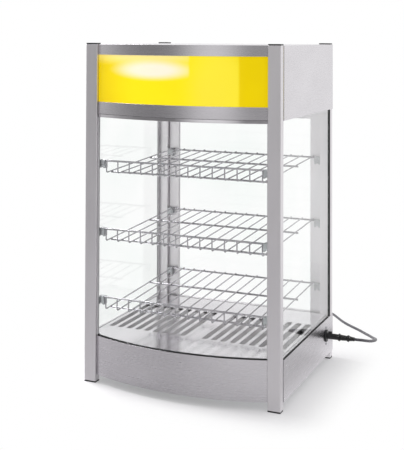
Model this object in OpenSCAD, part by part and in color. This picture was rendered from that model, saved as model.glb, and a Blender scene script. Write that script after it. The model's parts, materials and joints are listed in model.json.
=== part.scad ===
// Counter-top heated display cabinet: four posts, a heated base, a lit header, three wire shelves.
// Millimetres. X to the right, Y to the back, Z up, feet on z = 0.

/* [Cabinet] */
// Width across the four posts
cabinet_w = 486; // [440:1:540]
// Depth across the four posts
cabinet_d = 421; // [380:1:460]
// Height over the post caps
cabinet_h = 800; // [780:1:880]
// Rise of the curved front between its two ends
front_rise = 40; // [25:1:55]
// Setback of the curve's ends from the posts' front faces
front_setback = 5.5; // [4:0.5:8]

/* [Posts] */
// Width of a post, seen from the front
post_w = 30; // [26:1:34]
// Depth of a post, seen from the side
post_d = 20; // [18:1:24]
// Wall of the hollow post
post_wall = 2; // [1.5:0.5:3]
// Radius of a post's corners
post_round = 1.5; // [0.5:0.5:2.5]
// Thickness of a post's cap and of its foot
cap_t = 3; // [2:0.5:5]
// Depth of a cap's spigot inside the post
spigot_h = 12; // [8:1:20]

/* [Sheet metal] */
// Thickness of the panels
sheet_t = 1.2; // [0.8:0.1:2]
// Thickness of the header's face bars
bar_t = 1.5; // [1:0.1:2]
// Width of the flanges turned inwards
flange_w = 18; // [14:1:22]

/* [Base] */
// Lower edge of the base above the ground
base_lift = 18.5; // [12:0.5:30]
// Height of the base panels
base_h = 91; // [80:1:110]
// Height of the outer rear wall, up to the door's sill
rear_wall_h = 65.5; // [60:0.5:70]
// Height of the black gasket under the glass
gasket_h = 2; // [1.5:0.5:4]
// Height of the thinner gasket under the side glass
side_gasket_h = 1.2; // [1:0.1:2]
// Width of the black gasket under the glass
gasket_w = 7; // [6:0.5:8]
// Number of vents in the base floor
vent_count = 8; // [4:1:10]
// Length of a vent in the base floor
vent_l = 70; // [40:5:90]
// Width of a vent in the base floor
vent_w = 6; // [4:0.5:8]
// Spacing of the vents in the base floor
vent_pitch = 26; // [18:1:30]

/* [Header] */
// Height of the header
header_h = 165.5; // [150:0.5:180]
// Height of the bar over the sign
upper_bar_h = 25; // [15:1:35]
// Height of the bar under the sign
lower_bar_h = 29; // [18:1:40]
// Height of the polished lip under the header
lip_h = 7.5; // [5:0.5:12]
// Thickness of the sign panel
sign_t = 3; // [2:0.5:5]
// Distance of the light window's ends from the posts' inner faces
window_margin = 63; // [40:1:90]
// Depth of the light window in the header floor
window_w = 60; // [40:1:70]
// Diameter of the lamp tube
lamp_d = 16; // [12:1:26]
// Distance of the lamp tube's ends from the posts' inner faces
lamp_margin = 33; // [24:1:50]

/* [Glass] */
// Thickness of the panes
glass_t = 4; // [3:0.5:5]
// Setback of the front pane behind the curve's outer face
glass_setback = 2.6; // [2.4:0.1:4]
// Setback of the side panes behind the posts' outer faces
side_setback = 1.5; // [1:0.5:3]

/* [Air tray] */
// Thickness of the tray's sheet
tray_t = 1.5; // [1:0.1:2]
// Depth of the tray's turned-down edge
tray_skirt = 10; // [6:1:15]
// Slots in each of the two groups
slots_per_side = 9; // [5:1:9]
// Distance of the outermost slot's edge from the tray's side
slot_margin = 7.5; // [7.5:0.5:12]
// Width of a slot
slot_w = 14.5; // [10:0.5:16]
// Length of a slot
slot_l = 213; // [160:1:230]
// Spacing of the two middle slots
middle_gap = 57; // [50:1:64]
// Distance from the slots' rear ends to the tray's rear edge
slot_rear = 104; // [90:1:120]
// Depth of the louvre blades' low edges below the tray
louvre_h = 5.5; // [3:0.5:8]
// Width left open beside each louvre's blade
louvre_gap = 3.5; // [2.5:0.5:5]

/* [Shelves] */
// Height of the lowest shelf's front rail above the tray
first_shelf_h = 87; // [80:1:100]
// Spacing of the shelves
shelf_pitch = 161; // [140:1:170]
// Diameter of the shelf's rails
rail_d = 4.5; // [4:0.5:5.5]
// Diameter of the shelf's wires
wire_d = 3; // [2:0.5:3.5]
// Number of wires
wire_count = 14; // [9:1:14]
// Distance of the outermost wires from the front rail's ends
wire_margin = 17; // [17:0.5:30]
// Drop from the front rail to the wires' bend
shelf_drop = 27.5; // [20:0.5:35]
// Rise of the wires from the bend to the back
shelf_rise = 17.5; // [8:0.5:20]
// Bend radius of a wire, at its centre
wire_bend = 5; // [4:0.5:8]
// Distance of the front cross rail behind the bend
cross_back = 24; // [16:1:40]
// Depth to which wires and rails are welded into each other
weld_depth = 0.6; // [0.4:0.1:0.8]
// Reach of a clip from its post
clip_reach = 15; // [12:1:16]
// Height of a clip
clip_h = 19; // [16:1:24]
// Wall of a clip beside the rail
clip_wall = 2; // [1.5:0.25:3]

/* [Rear door] */
// Width of the door's stiles
stile_w = 27; // [20:1:32]
// Height of the door's rails
door_rail_h = 24; // [20:1:28]
// Thickness of the door's frame
door_t = 14; // [12:1:16]
// Gap around the door
door_gap = 1; // [0.8:0.1:2]
// Height of the door's lower edge above its sill
sill_gap = 2; // [1:0.5:4]
// Reach of the handle from the door's face
handle_reach = 26; // [22:1:34]
// Length of the handle
handle_l = 150; // [100:5:200]
// Diameter of the handle's grip
grip_d = 10; // [8:1:12]
// Diameter of the handle's two posts
standoff_d = 8; // [6:0.5:8]
// Diameter of the hinge pins
pin_d = 4; // [3:0.5:5]
// Outer diameter of the hinge knuckles
knuckle_d = 8; // [7.5:0.5:9]
// Height of a hinge knuckle
knuckle_h = 16; // [12:1:20]
// Width of a hinge leaf
leaf_w = 22; // [16:1:24]
// Thickness of a hinge leaf on the door
leaf_t = 1.5; // [1:0.25:2]
// Distance of each hinge from the door's ends
hinge_inset = 70; // [50:5:120]

/* [Heating element] */
// Diameter of the element's tube
element_d = 8; // [6.5:0.5:10]
// Number of passes of the element
element_passes = 4; // [2:2:4]
// Spacing of the passes
element_pitch = 64; // [50:1:70]
// Length of a pass between the bends
element_l = 280; // [200:5:300]
// Height of the element above the base floor
element_lift = 50; // [35:1:60]

/* [Controls] */
// Diameter of the thermostat's knob
knob_d = 38; // [30:1:42]
// Reach of the knob from the panel
knob_reach = 18; // [14:1:20]
// Diameter of the thermostat's shaft
shaft_d = 6; // [5:0.5:8]
// Width of a rocker switch's cut-out
switch_w = 13; // [11:0.5:16]
// Height of a rocker switch's cut-out
switch_h = 28; // [24:1:30]
// Tilt of a rocker at rest
rocker_tilt = 10; // [6:1:12]

/* [Mains lead] */
// Diameter of the cord
cord_d = 7; // [6.5:0.5:7.5]
// Height of the inlet's centre above the ground
inlet_z = 70.5; // [64:0.5:76]
// Distance of the inlet's centre from the posts' rear faces
inlet_back = 62.5; // [55:0.5:80]
// Spacing of the inlet's two screws
inlet_screw_gap = 40; // [40:0.5:42]
// Diameter of the plug's body
plug_d = 37; // [35:1:40]

/* [Hidden] */

// Clearances: play between fitted pieces, seat between pieces that rest on each other, running fit.
play = 0.3;
seat = 0.3;
running = 0.05;
eps = 0.01;
bow_fn = 360;
round_fn = 48;
wire_fn = 20;

// Stations along X.
post_out = cabinet_w / 2;
post_in = post_out - post_w;
panel_out = post_out + sheet_t;
side_glass_x = post_out - side_setback - glass_t;

// Stations along Y: the box over the front curve and the door's handle is centred on y = 0.
door_back = 4.5;
depth_all = front_rise - front_setback + cabinet_d + door_back + handle_reach;
apex_y = -depth_all / 2;
front_y = apex_y + front_rise - front_setback;
front_in_y = front_y + post_d;
rear_y = front_y + cabinet_d;
rear_in_y = rear_y - post_d;
bow_end_y = front_y + front_setback;

// The front curve: a circle through the two ends and the apex.
bow_r = (pow(post_in, 2) + pow(front_rise, 2)) / (2 * front_rise);
bow_y = apex_y + bow_r;
function bow_at(x, inset) = bow_y - sqrt(pow(bow_r - inset, 2) - x * x);

// Stations along Z.
post_top = cabinet_h - cap_t;
base_top = base_lift + base_h;
sill_z = base_lift + rear_wall_h;
glass_z = base_top + gasket_h;
side_glass_z = base_top + side_gasket_h;
gasket_in = glass_setback - 1.6;
header_z = post_top - header_h;
sign_z = header_z + lower_bar_h;
sign_top = post_top - upper_bar_h;
lip_z = header_z - lip_h;
tray_z = base_top + seat;
tray_top = tray_z + tray_t;

// The panes.
pane_in = glass_setback + glass_t;
pane_top = header_z - 2.5;
seal_w = 3;
seal_front = bow_at(post_in, glass_setback) - 2.5;
seal_back = bow_at(post_in, pane_in) + 0.8;
side_seal = 8;

// The rear door.
door_y = rear_y + door_back - door_t;
door_face_y = rear_y + door_back;
door_z = sill_z + sill_gap;
door_top = header_z - 3;
door_half = post_in - door_gap;
hinge_x = -post_in;
hinge_y = door_face_y + knuckle_d / 2 + play;
hinge_zs = [door_z + hinge_inset, door_top - hinge_inset];
handle_z = (door_z + door_top) / 2;
handle_x = door_half - stile_w / 2;
standoff_inset = 18;
pane_edge = 8;

// The shelves.
front_rail_y = seal_back + play + clip_wall + play + rail_d / 2;
rear_clip_d = door_y - rear_in_y - door_gap;
rear_rail_y = rear_in_y + rear_clip_d / 2;
rail_end = post_in - 1;
middle_cross_at = 0.625;
middle_cross_y = mix(front_rail_y, rear_rail_y, middle_cross_at);
wire_run = rear_rail_y - front_rail_y;
wire_slope = atan(shelf_rise / wire_run);
wire_reach = rail_end - wire_margin;
wire_pitch = 2 * wire_reach / (wire_count - 1);
cross_under = (wire_d + rail_d) / 2 - weld_depth;
shelf_z = [for (i = [0:2]) tray_top + first_shelf_h + i * shelf_pitch];

// The controls on the rear wall, seen from behind.
control_z = base_lift + rear_wall_h / 2;
knob_x = 93 - post_in;
switch_xs = [30, 70];
inlet_y = rear_y - inlet_back;

// The lead: its route is held in points, from the connector's end to the coil's start.
connector_l = 72.8;
connector_x = panel_out + connector_l;
floor_z = 3.6;
lead_at = [connector_x, inlet_y, 0];
lead_end = [-246, 280, 5];
lead_l = cord_d;
lead_points = [
  [0, 0, inlet_z], [7, 0, inlet_z], [16, 6, 69], [23, 22, 64], [27, 46, 57],
  [28, 78, 49], [25, 114, 40], [18, 150, 31], [8, 184, 22], [-5, 216, 14],
  [-20, 247, 8], [-40, 276, 4.5], [-63, 302, floor_z], [-87, 324, floor_z],
  [-110, 346, floor_z], [-132, 372, floor_z], [-152, 400, floor_z], [-173, 426, floor_z],
  [-199, 440, floor_z], [-223, 432, floor_z], [-238, 410, floor_z], [-245, 380, floor_z],
  [-246, 348, 4.2], [-246, 316, 5], [-246, 294, 5], lead_end + [0, lead_l, 0]
];
cord_route = [for (p = lead_points) lead_at + p];
cord_steps = 2;
cord_sides = 10;

// The coil: a steady spiral in and out again, climbing one layer where it reverses.
coil_turns = 4.25;
coil_gap = 0.7;
coil_layer = cord_d + coil_gap;
coil_in_r = 30;
coil_out_r = coil_in_r + coil_layer * coil_turns / 2;
coil_z = lead_end[2];
coil_centre = [lead_at[0] + lead_end[0] - coil_out_r, lead_at[1] + lead_end[1]];
coil_rings = 24;
coil_sides = 6;
tail_l = 50;
plug_z = plug_d / 2 + 0.3;
tie_t = 1;
tie_w = 12;

function unit(v) = v / norm(v);
function mix(a, b, t) = a * (1 - t) + b * t;
function smooth(t) = t * t * (3 - 2 * t);
function clamp01(t) = min(1, max(0, t));

// A point of the smooth curve through b and c, with a and d as neighbours.
function curve_point(a, b, c, d, t) =
  0.5 * ((2 * b) + (c - a) * t + (2 * a - 5 * b + 4 * c - d) * t * t
    + (3 * b - a - 3 * c + d) * t * t * t);

// The route with extra points between its own; the first and last stretches stay straight.
function smooth_route(p, steps) = let (n = len(p)) concat(
  [p[0]],
  [for (i = [1:n - 3]) for (s = [0:steps - 1]) curve_point(p[i - 1], p[i], p[i + 1], p[i + 2], s / steps)],
  [p[n - 2], p[n - 1]]
);

function path_length(p) = len(p) < 2 ? 0 : sum_from(p, 0);
function sum_from(p, i) = i >= len(p) - 1 ? 0 : norm(p[i + 1] - p[i]) + sum_from(p, i + 1);

// Direction of the path at its point i.
function heading(p, i) = unit(p[min(i + 1, len(p) - 1)] - p[max(i - 1, 0)]);

// Ring of points round the path at its point i.
function ring(p, i, r, sides) =
  let (t = heading(p, i), s = unit(cross(t, [0, 0, 1])), u = cross(s, t))
  [for (k = [0:sides - 1]) p[i] + r * (cos(360 * (k + 0.5) / sides) * s + sin(360 * (k + 0.5) / sides) * u)];

// One closed tube along a path.
module tube(p, r, sides) {
  n = len(p);
  points = [for (i = [0:n - 1]) each ring(p, i, r, sides)];
  walls = [
    for (i = [0:n - 2]) for (k = [0:sides - 1])
      let (a = i * sides + k, b = i * sides + (k + 1) % sides)
      each [[a, a + sides, b], [b, a + sides, b + sides]]
  ];
  start = [for (k = [1:sides - 2]) [0, k, k + 1]];
  last = (n - 1) * sides;
  end = [for (k = [1:sides - 2]) [last, last + k + 1, last + k]];
  polyhedron(points = points, faces = concat(walls, start, end), convexity = 10);
}

// Coil's centre line at t turns from its start, running clockwise seen from above.
function coil_r(t) = coil_in_r + coil_layer * abs(t - coil_turns / 2);
function coil_h(t) = coil_z + coil_layer * smooth(clamp01((t - coil_turns / 2 + 0.25) / 0.5));
function coil_point(t) =
  [coil_centre[0] + coil_r(t) * cos(-360 * t), coil_centre[1] + coil_r(t) * sin(-360 * t), coil_h(t)];
coil_start = coil_point(0);
coil_exit = coil_point(coil_turns);
coil_spiral = [for (i = [0:coil_turns * coil_rings]) coil_point(i / coil_rings)];
coil_tail = [
  for (s = [12:12:tail_l - lead_l])
    [coil_exit[0] - s, coil_exit[1], mix(coil_exit[2], plug_z, smooth(s / (tail_l - lead_l)))]
];
plug_x = coil_exit[0] - tail_l;
coil_path = concat(
  [[coil_start[0], coil_start[1] + lead_l, coil_start[2]]],
  coil_spiral,
  coil_tail,
  [[plug_x + lead_l, coil_exit[1], plug_z], [plug_x, coil_exit[1], plug_z]]
);
free_path = smooth_route(cord_route, cord_steps);
coil_clear = min([
  for (i = [0:len(coil_spiral) - 1]) for (j = [i + coil_rings / 2:len(coil_spiral) - 1])
    norm(coil_spiral[i] - coil_spiral[j])
]) - cord_d;
union() {  // cord_coil
  echo(free_length = path_length(free_path), coil_length = path_length(coil_path));
  echo(cord_length = path_length(free_path) + path_length(coil_path));
  echo(coil_least_gap = coil_clear, coil_start = coil_start, plug_x = plug_x);
}

// Plan of a rectangle with rounded corners, from its low corner.
module round_plan(size, r) {
  translate([r, 0]) square([size[0] - 2 * r, size[1]]);
  translate([0, r]) square([size[0], size[1] - 2 * r]);
  for (x = [r, size[0] - r]) {
    for (y = [r, size[1] - r]) {
      translate([x, y]) circle(r = r, $fn = round_fn);
    }
  }
}

// Plan of a slot with round ends, centred, its long side along Y.
module slot_plan(w, l) {
  square([w, l - w], center = true);
  for (s = [-1, 1]) {
    translate([0, s * (l - w) / 2]) circle(d = w, $fn = round_fn);
  }
}

// Plan of all that lies behind the curve, out to half on each side and back to back_y.
module bow_plan(inset, half, back_y) {
  intersection() {
    translate([0, bow_y]) circle(r = bow_r - inset, $fn = bow_fn);
    translate([-half, apex_y - 1]) square([2 * half, back_y - apex_y + 1]);
  }
}

// Strip bent to the front curve, from inset a to inset b behind its outer face.
module bow_strip(a, b, half, z, h) {
  translate([0, 0, z]) {
    linear_extrude(h) {
      intersection() {
        difference() {
          translate([0, bow_y]) circle(r = bow_r - a, $fn = bow_fn);
          translate([0, bow_y]) circle(r = bow_r - b, $fn = bow_fn);
        }
        translate([-half, apex_y - 1]) square([2 * half, front_in_y - apex_y + 1]);
      }
    }
  }
}

// Plan of the cabinet between its panels, with the four posts' corners left out.
module floor_plan(inset, side, gap) {
  bow_plan(inset, post_in - gap, front_in_y + gap);
  translate([-side, front_in_y + gap]) square([2 * side, rear_in_y - front_in_y - 2 * gap]);
  translate([-post_in + gap, rear_in_y - gap - eps])
    square([2 * (post_in - gap), rear_y - sheet_t - rear_in_y]);
}

module at_posts() {
  for (x = [-1, 1]) {
    for (y = [front_y, rear_in_y]) {
      translate([x < 0 ? -post_out : post_in, y, 0]) children();
    }
  }
}

// Hollow post with rounded corners.
module post(x, y) {
  translate([x, y, cap_t]) {
    linear_extrude(post_top - cap_t) {
      difference() {
        round_plan([post_w, post_d], post_round);
        translate([post_wall, post_wall]) square([post_w - 2 * post_wall, post_d - 2 * post_wall]);
      }
    }
  }
}

module front_post_left() {
  color("#b4b2b4") post(-post_out, front_y);
}

module front_post_right() {
  color("#b4b2b4") post(post_in, front_y);
}

module rear_post_left() {
  color("#b4b2b4") post(-post_out, rear_in_y);
}

module rear_post_right() {
  color("#b4b2b4") post(post_in, rear_in_y);
}

// Plate of a cap or foot, with its spigot on the side given by up.
module post_end(up) {
  linear_extrude(cap_t) round_plan([post_w, post_d], post_round);
  inset = post_wall + play;
  translate([inset, inset, up > 0 ? cap_t - eps : -spigot_h])
    cube([post_w - 2 * inset, post_d - 2 * inset, spigot_h + eps]);
}

module post_caps() {
  color("#1c1c1e") at_posts() translate([0, 0, post_top]) post_end(-1);
}

module feet() {
  color("#1c1c1e") at_posts() post_end(1);
}

// The base.
module base_fascia() {
  half = post_in - play;
  color("#a8a8aa") {
    bow_strip(0, sheet_t, half, base_lift, base_h);
    bow_strip(sheet_t - eps, flange_w, half, base_top - sheet_t, sheet_t);
  }
}

module base_side(s) {
  x_low = s < 0 ? -panel_out : post_out;
  flange_x = s < 0 ? -post_out - eps : post_out - flange_w;
  length = rear_y - front_in_y - play;
  translate([x_low, front_in_y + play, base_lift]) cube([sheet_t, length, base_h]);
  translate([flange_x, front_in_y + play, base_top - sheet_t])
    cube([flange_w + eps, rear_in_y - front_in_y - 2 * play, sheet_t]);
}

module base_side_left() {
  color("#b0b0b2") base_side(-1);
}

module base_side_right() {
  color("#b0b0b2") {
    difference() {
      base_side(1);
      inlet_mouth(post_out - 1, sheet_t + 2);
      for (s = [-1, 1]) {
        translate([post_out - 1, inlet_y, inlet_z + s * inlet_screw_gap / 2]) rotate([0, 90, 0])
          cylinder(d = screw_d + 2 * play, h = sheet_t + 2, $fn = round_fn);
      }
    }
  }
}

// Outer rear wall, sill under the door, upstand in front of it and flange under the tray.
module base_rear_panel() {
  half = post_in - play;
  upstand_y = rear_in_y - play - sheet_t;
  color("#a8a8aa") {
    difference() {
      union() {
        translate([-half, rear_y - sheet_t, base_lift]) cube([2 * half, sheet_t, rear_wall_h]);
        translate([-half, upstand_y, sill_z - sheet_t]) cube([2 * half, rear_y - upstand_y, sheet_t]);
        translate([-half, upstand_y, sill_z - sheet_t])
          cube([2 * half, sheet_t, base_top - sill_z + sheet_t]);
        translate([-half, upstand_y - flange_w, base_top - sheet_t])
          cube([2 * half, flange_w + sheet_t, sheet_t]);
      }
      rear_screw_holes(base_screw_zs);
      translate([knob_x, rear_y + 1, control_z]) rotate([90, 0, 0])
        cylinder(d = shaft_bush_d + 2 * play, h = sheet_t + 2, $fn = round_fn);
      for (x = switch_xs) {
        translate([x - switch_w / 2 - play, rear_y - sheet_t - 1, control_z - switch_h / 2 - play])
          cube([switch_w + 2 * play, sheet_t + 2, switch_h + 2 * play]);
      }
    }
  }
}

module base_floor() {
  color("#9a9a9c") {
    translate([0, 0, base_lift + play]) {
      linear_extrude(sheet_t) {
        difference() {
          floor_plan(sheet_t + play, post_out - play, play);
          for (i = [0:vent_count - 1]) {
            translate([(i - (vent_count - 1) / 2) * vent_pitch, 0]) slot_plan(vent_w, vent_l);
          }
        }
      }
    }
  }
}
floor_top = base_lift + play + sheet_t;

module front_gasket() {
  color("#161617") bow_strip(gasket_in, gasket_in + gasket_w, post_in - play, base_top, gasket_h);
}

// Panes.
module front_pane(grow) {
  bow_strip(glass_setback - grow, pane_in + grow, post_in - 1 + grow, glass_z, pane_top - glass_z);
}

module side_pane(s, grow) {
  x_low = s < 0 ? -side_glass_x - glass_t : side_glass_x;
  length = rear_in_y - side_seal / 2 - front_in_y - play;
  translate([x_low - grow, front_in_y + play - grow, side_glass_z])
    cube([glass_t + 2 * grow, length + 2 * grow, header_z - side_glass_z - play]);
}

module front_glass() {
  color([0.75, 0.85, 0.86, 0.35]) front_pane(0);
}

module side_glass_left() {
  color([0.75, 0.85, 0.86, 0.35]) side_pane(-1, 0);
}

module side_glass_right() {
  color([0.75, 0.85, 0.86, 0.35]) side_pane(1, 0);
}

// Seals: strips on the front posts' inner faces, under the side panes and at their rear edges.
module glass_seals() {
  strip_x = side_glass_x - 1.5;
  color("#161617") {
    for (s = [-1, 1]) {
      difference() {
        translate([s < 0 ? -post_in : post_in - seal_w, seal_front, glass_z])
          cube([seal_w, seal_back - seal_front, lip_z - play - glass_z]);
        front_pane(0.1);
      }
      translate([s < 0 ? -strip_x - gasket_w : strip_x, front_in_y + play, base_top])
        cube([gasket_w, rear_in_y - front_in_y - 2 * play, side_gasket_h]);
      difference() {
        translate([s < 0 ? -strip_x - gasket_w : strip_x, rear_in_y - side_seal - play, side_glass_z])
          cube([gasket_w, side_seal, header_z - side_glass_z - play]);
        side_pane(s, 0.1);
      }
    }
  }
}

// The air tray: a polished sheet with turned-down edges and two groups of slots, each with a blade sloping down from its edge.
tray_margin = 13;
tray_half = post_out - tray_margin;
tray_front_in = gasket_in + gasket_w + 0.5;
tray_rear_y = rear_in_y - 0.6;
slot_y = tray_rear_y - slot_rear - slot_l / 2;
slot_pitch = (tray_half - slot_margin - slot_w / 2 - middle_gap / 2) / (slots_per_side - 1);
function slot_x(side, i) = side * (middle_gap / 2 + i * slot_pitch);

module tray_plan(inset) {
  bow_plan(tray_front_in + inset, post_in - seal_w - 1 - inset, front_in_y + 1);
  translate([-tray_half + inset, front_in_y + 0.6 + inset])
    square([2 * (tray_half - inset), tray_rear_y - front_in_y - 0.6 - 2 * inset]);
}

module air_tray() {
  skirt_in = flange_w - tray_margin + 1.5;
  skirt_y = front_in_y + 20;
  skirt_l = rear_in_y - 40 - skirt_y;
  blade_root = 1;
  blade_l = slot_l - slot_w - 2;
  blade_angle = atan(louvre_h / (slot_w - louvre_gap));
  blade_w = (slot_w - louvre_gap + blade_root) / cos(blade_angle);
  probe_room = 3;
  color("#d2d2d4") {
    difference() {
      union() {
        translate([0, 0, tray_z]) linear_extrude(tray_t) tray_plan(0);
        for (s = [-1, 1]) {
          translate([s * (tray_half - skirt_in) - sheet_t / 2, skirt_y, tray_z - tray_skirt])
            cube([sheet_t, skirt_l, tray_skirt + eps]);
        }
      }
      for (s = [-1, 1]) {
        for (i = [0:slots_per_side - 1]) {
          translate([slot_x(s, i), slot_y, tray_z - 1]) linear_extrude(tray_t + 2) slot_plan(slot_w, slot_l);
        }
      }
    }
    difference() {
      for (s = [-1, 1]) {
        for (i = [0:slots_per_side - 1]) {
          translate([slot_x(s, i) - slot_w / 2 - blade_root, slot_y - blade_l / 2, tray_z + 0.1])
            rotate([0, blade_angle, 0]) cube([blade_w, blade_l, sheet_t]);
        }
      }
      translate([probe_x - slot_w, probe_y - probe_l / 2 - probe_room, tray_z - slot_w])
        cube([2 * slot_w, probe_l + 2 * probe_room, 2 * slot_w]);
    }
  }
}

// Air probe of the thermostat: its head lies in the right-most slot, its stem stands on the floor.
probe_d = 7;
probe_x = tray_half - slot_margin - slot_w / 2 + 2;
probe_y = slot_y + 45;
probe_l = 20;
probe_lift = 2;
stem_d = 4;
stem_foot = [12, 3];

module air_probe() {
  color("#18181a") {
    translate([probe_x, probe_y - probe_l / 2, tray_top + probe_lift]) rotate([-90, 0, 0])
      cylinder(d = probe_d, h = probe_l, $fn = round_fn);
    translate([probe_x, probe_y, floor_top]) {
      cylinder(d = stem_d, h = tray_top + probe_lift - floor_top, $fn = round_fn);
      cylinder(d = stem_foot[0], h = stem_foot[1], $fn = round_fn);
    }
  }
}

// The heating element: straight passes joined by half rings.
element_z = floor_top + element_lift;
element_y = -0.5 * (element_passes - 1) * element_pitch - 20;
function pass_y(i) = element_y + i * element_pitch;

module half_ring(x, y, s) {
  translate([x, y, element_z]) rotate([0, 0, s < 0 ? 90 : -90])
    rotate_extrude(angle = 180, $fn = round_fn)
      translate([element_pitch / 2, 0]) circle(d = element_d, $fn = round_fn);
}

module heating_element() {
  cold_end = 40;
  pin_l = 12;
  color("#6a6560") {
    for (i = [0:element_passes - 1]) {
      outer = i == 0 || i == element_passes - 1;
      translate([-element_l / 2, pass_y(i), element_z]) rotate([0, 90, 0])
        cylinder(d = element_d, h = element_l + (outer ? cold_end : 0), $fn = round_fn);
    }
    for (i = [0:element_passes - 2]) {
      side = i % 2 == 0 ? -1 : 1;
      half_ring(side * element_l / 2, pass_y(i) + element_pitch / 2, side);
    }
    for (i = [0, element_passes - 1]) {
      translate([element_l / 2 + cold_end, pass_y(i), element_z]) rotate([0, 90, 0])
        cylinder(d = element_d / 2, h = pin_l, $fn = round_fn);
    }
  }
}

module element_brackets() {
  overhang = 15;
  foot_w = 14;
  bracket_x = element_l * 0.3;
  bracket_l = (element_passes - 1) * element_pitch + 2 * overhang;
  bracket_h = element_lift + element_d / 2 + 4;
  color("#8c8c8e") {
    for (s = [-1, 1]) {
      difference() {
        translate([s * bracket_x, element_y - overhang, floor_top]) {
          cube([sheet_t, bracket_l, bracket_h]);
          cube([foot_w, bracket_l, sheet_t]);
        }
        for (i = [0:element_passes - 1]) {
          translate([s * bracket_x - 1, pass_y(i), element_z]) rotate([0, 90, 0])
            cylinder(d = element_d + 2 * running, h = sheet_t + 2, $fn = round_fn);
        }
      }
    }
  }
}

// The thermostat: its case behind the wall, its bush through the wall, its shaft in the knob.
shaft_bush_d = 10;

knob_top = 4.5;

module thermostat() {
  case = [44, 30, 44];
  wall_y = rear_y - sheet_t;
  color("#d8d4c8") {
    translate([knob_x - case[0] / 2, wall_y - case[1], control_z - case[2] / 2]) cube(case);
    translate([knob_x, wall_y - eps, control_z]) rotate([-90, 0, 0]) {
      cylinder(d = shaft_bush_d, h = sheet_t + 1, $fn = round_fn);
      cylinder(d = shaft_d, h = sheet_t + knob_reach - knob_top - 0.5, $fn = round_fn);
    }
  }
}

module thermostat_knob() {
  skirt_h = 5;
  skirt_w = 5.5;
  color("#1a1a1c") {
    difference() {
      translate([knob_x, rear_y + 1 + play, control_z]) rotate([-90, 0, 0]) {
        cylinder(d = knob_d, h = skirt_h, $fn = round_fn);
        cylinder(d = knob_d - 2 * skirt_w, h = knob_reach - 1 - play, $fn = round_fn);
      }
      translate([knob_x, rear_y, control_z]) rotate([-90, 0, 0])
        cylinder(d = shaft_d + 2 * running, h = knob_reach - knob_top, $fn = round_fn);
    }
  }
}

// The rocker switches: a bezel and a housing with a well, and a rocker on a pin line in the well.
bezel = 2;
housing_d = 22;
well_d = 13;
well_end = 1.5;
rocker_w = switch_w - 4;
rocker_h = switch_h - 6;
rocker_t = 7;
rocker_y = rear_y + bezel - rocker_t;
rocker_pin_d = 2;
rocker_pin_l = 1.2;

module switch_housings() {
  color("#222224") {
    for (x = switch_xs) {
      difference() {
        union() {
          translate([x - switch_w / 2 - bezel, rear_y, control_z - switch_h / 2 - bezel])
            cube([switch_w + 2 * bezel, bezel, switch_h + 2 * bezel]);
          translate([x - switch_w / 2, rear_y - housing_d, control_z - switch_h / 2])
            cube([switch_w, housing_d + eps, switch_h]);
        }
        translate([x - rocker_w / 2 - play, rear_y - well_d, control_z - rocker_h / 2 - well_end])
          cube([rocker_w + 2 * play, 2 * well_d, rocker_h + 2 * well_end]);
      }
      for (s = [-1, 1]) {
        translate([x + s * (rocker_w / 2 + play), rocker_y, control_z]) rotate([0, 90, 0])
          cylinder(d = rocker_pin_d, h = 2 * rocker_pin_l, center = true, $fn = round_fn);
      }
    }
  }
}

// A rocker: two lobes either side of its pivot, tilted to its resting side.
module rocker(x) {
  translate([x, rocker_y, control_z]) {
    rotate([rocker_tilt, 0, 0]) {
      difference() {
        union() {
          translate([-rocker_w / 2, 0, -rocker_h / 2]) cube([rocker_w, rocker_t, rocker_h]);
          rotate([0, 90, 0]) cylinder(d = rocker_t, h = rocker_w, center = true, $fn = round_fn);
        }
        for (s = [-1, 1]) {
          translate([s * rocker_w / 2, 0, 0]) rotate([0, 90, 0])
            cylinder(d = rocker_pin_d + 2 * running, h = 2 * rocker_pin_l, center = true, $fn = round_fn);
        }
      }
    }
  }
}

module heat_rocker() {
  color("#b3261e") rocker(switch_xs[0]);
}

module light_rocker() {
  color("#2f7d46") rocker(switch_xs[1]);
}

module terminal_block() {
  ways = 4;
  pitch = 12;
  size = [ways * pitch, 20, 16];
  ahead = 3 * size[1];
  color("#e4e0d4") {
    translate([post_in - 2 * size[0], inlet_y - ahead, floor_top]) {
      difference() {
        cube(size);
        for (i = [0:ways - 1]) {
          translate([(i + 0.5) * pitch, size[1] / 2, size[2] / 2])
            cylinder(d = 5, h = size[2], $fn = round_fn);
        }
      }
    }
  }
}

// The appliance inlet, screwed behind the right panel, and the connector in it.
screw_d = 3;
nose = [16, 24];
nose_l = 15;
contact_d = 3;
contact_back = 3;
contact_gap = 7;
inlet_body = [26, 22, 30];
inlet_flange = [3, 22, 50];

// Places of the three contacts round the inlet's centre.
module at_contacts(x) {
  for (s = [-1, 0, 1]) {
    translate([x, inlet_y + (s == 0 ? contact_back : -contact_back), inlet_z + s * contact_gap])
      rotate([0, 90, 0]) children();
  }
}

// Mouth of the inlet, from x over a depth.
module inlet_mouth(x, depth) {
  translate([x, inlet_y - nose[0] / 2 - play, inlet_z - nose[1] / 2 - play])
    cube([depth, nose[0] + 2 * play, nose[1] + 2 * play]);
}

module power_inlet() {
  color("#1a1a1c") {
    difference() {
      union() {
        for (size = [inlet_flange, inlet_body]) {
          translate([post_out - size[0], inlet_y - size[1] / 2, inlet_z - size[2] / 2]) cube(size);
        }
      }
      inlet_mouth(post_out - nose_l - 1, nose_l + 2);
      for (s = [-1, 1]) {
        translate([post_out - inlet_flange[0] - 1, inlet_y, inlet_z + s * inlet_screw_gap / 2])
          rotate([0, 90, 0]) cylinder(d = screw_d + 2 * running, h = inlet_flange[0] + 2, $fn = round_fn);
      }
    }
    at_contacts(post_out - nose_l - 2) cylinder(d = contact_d, h = 12, $fn = round_fn);
  }
}

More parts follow.
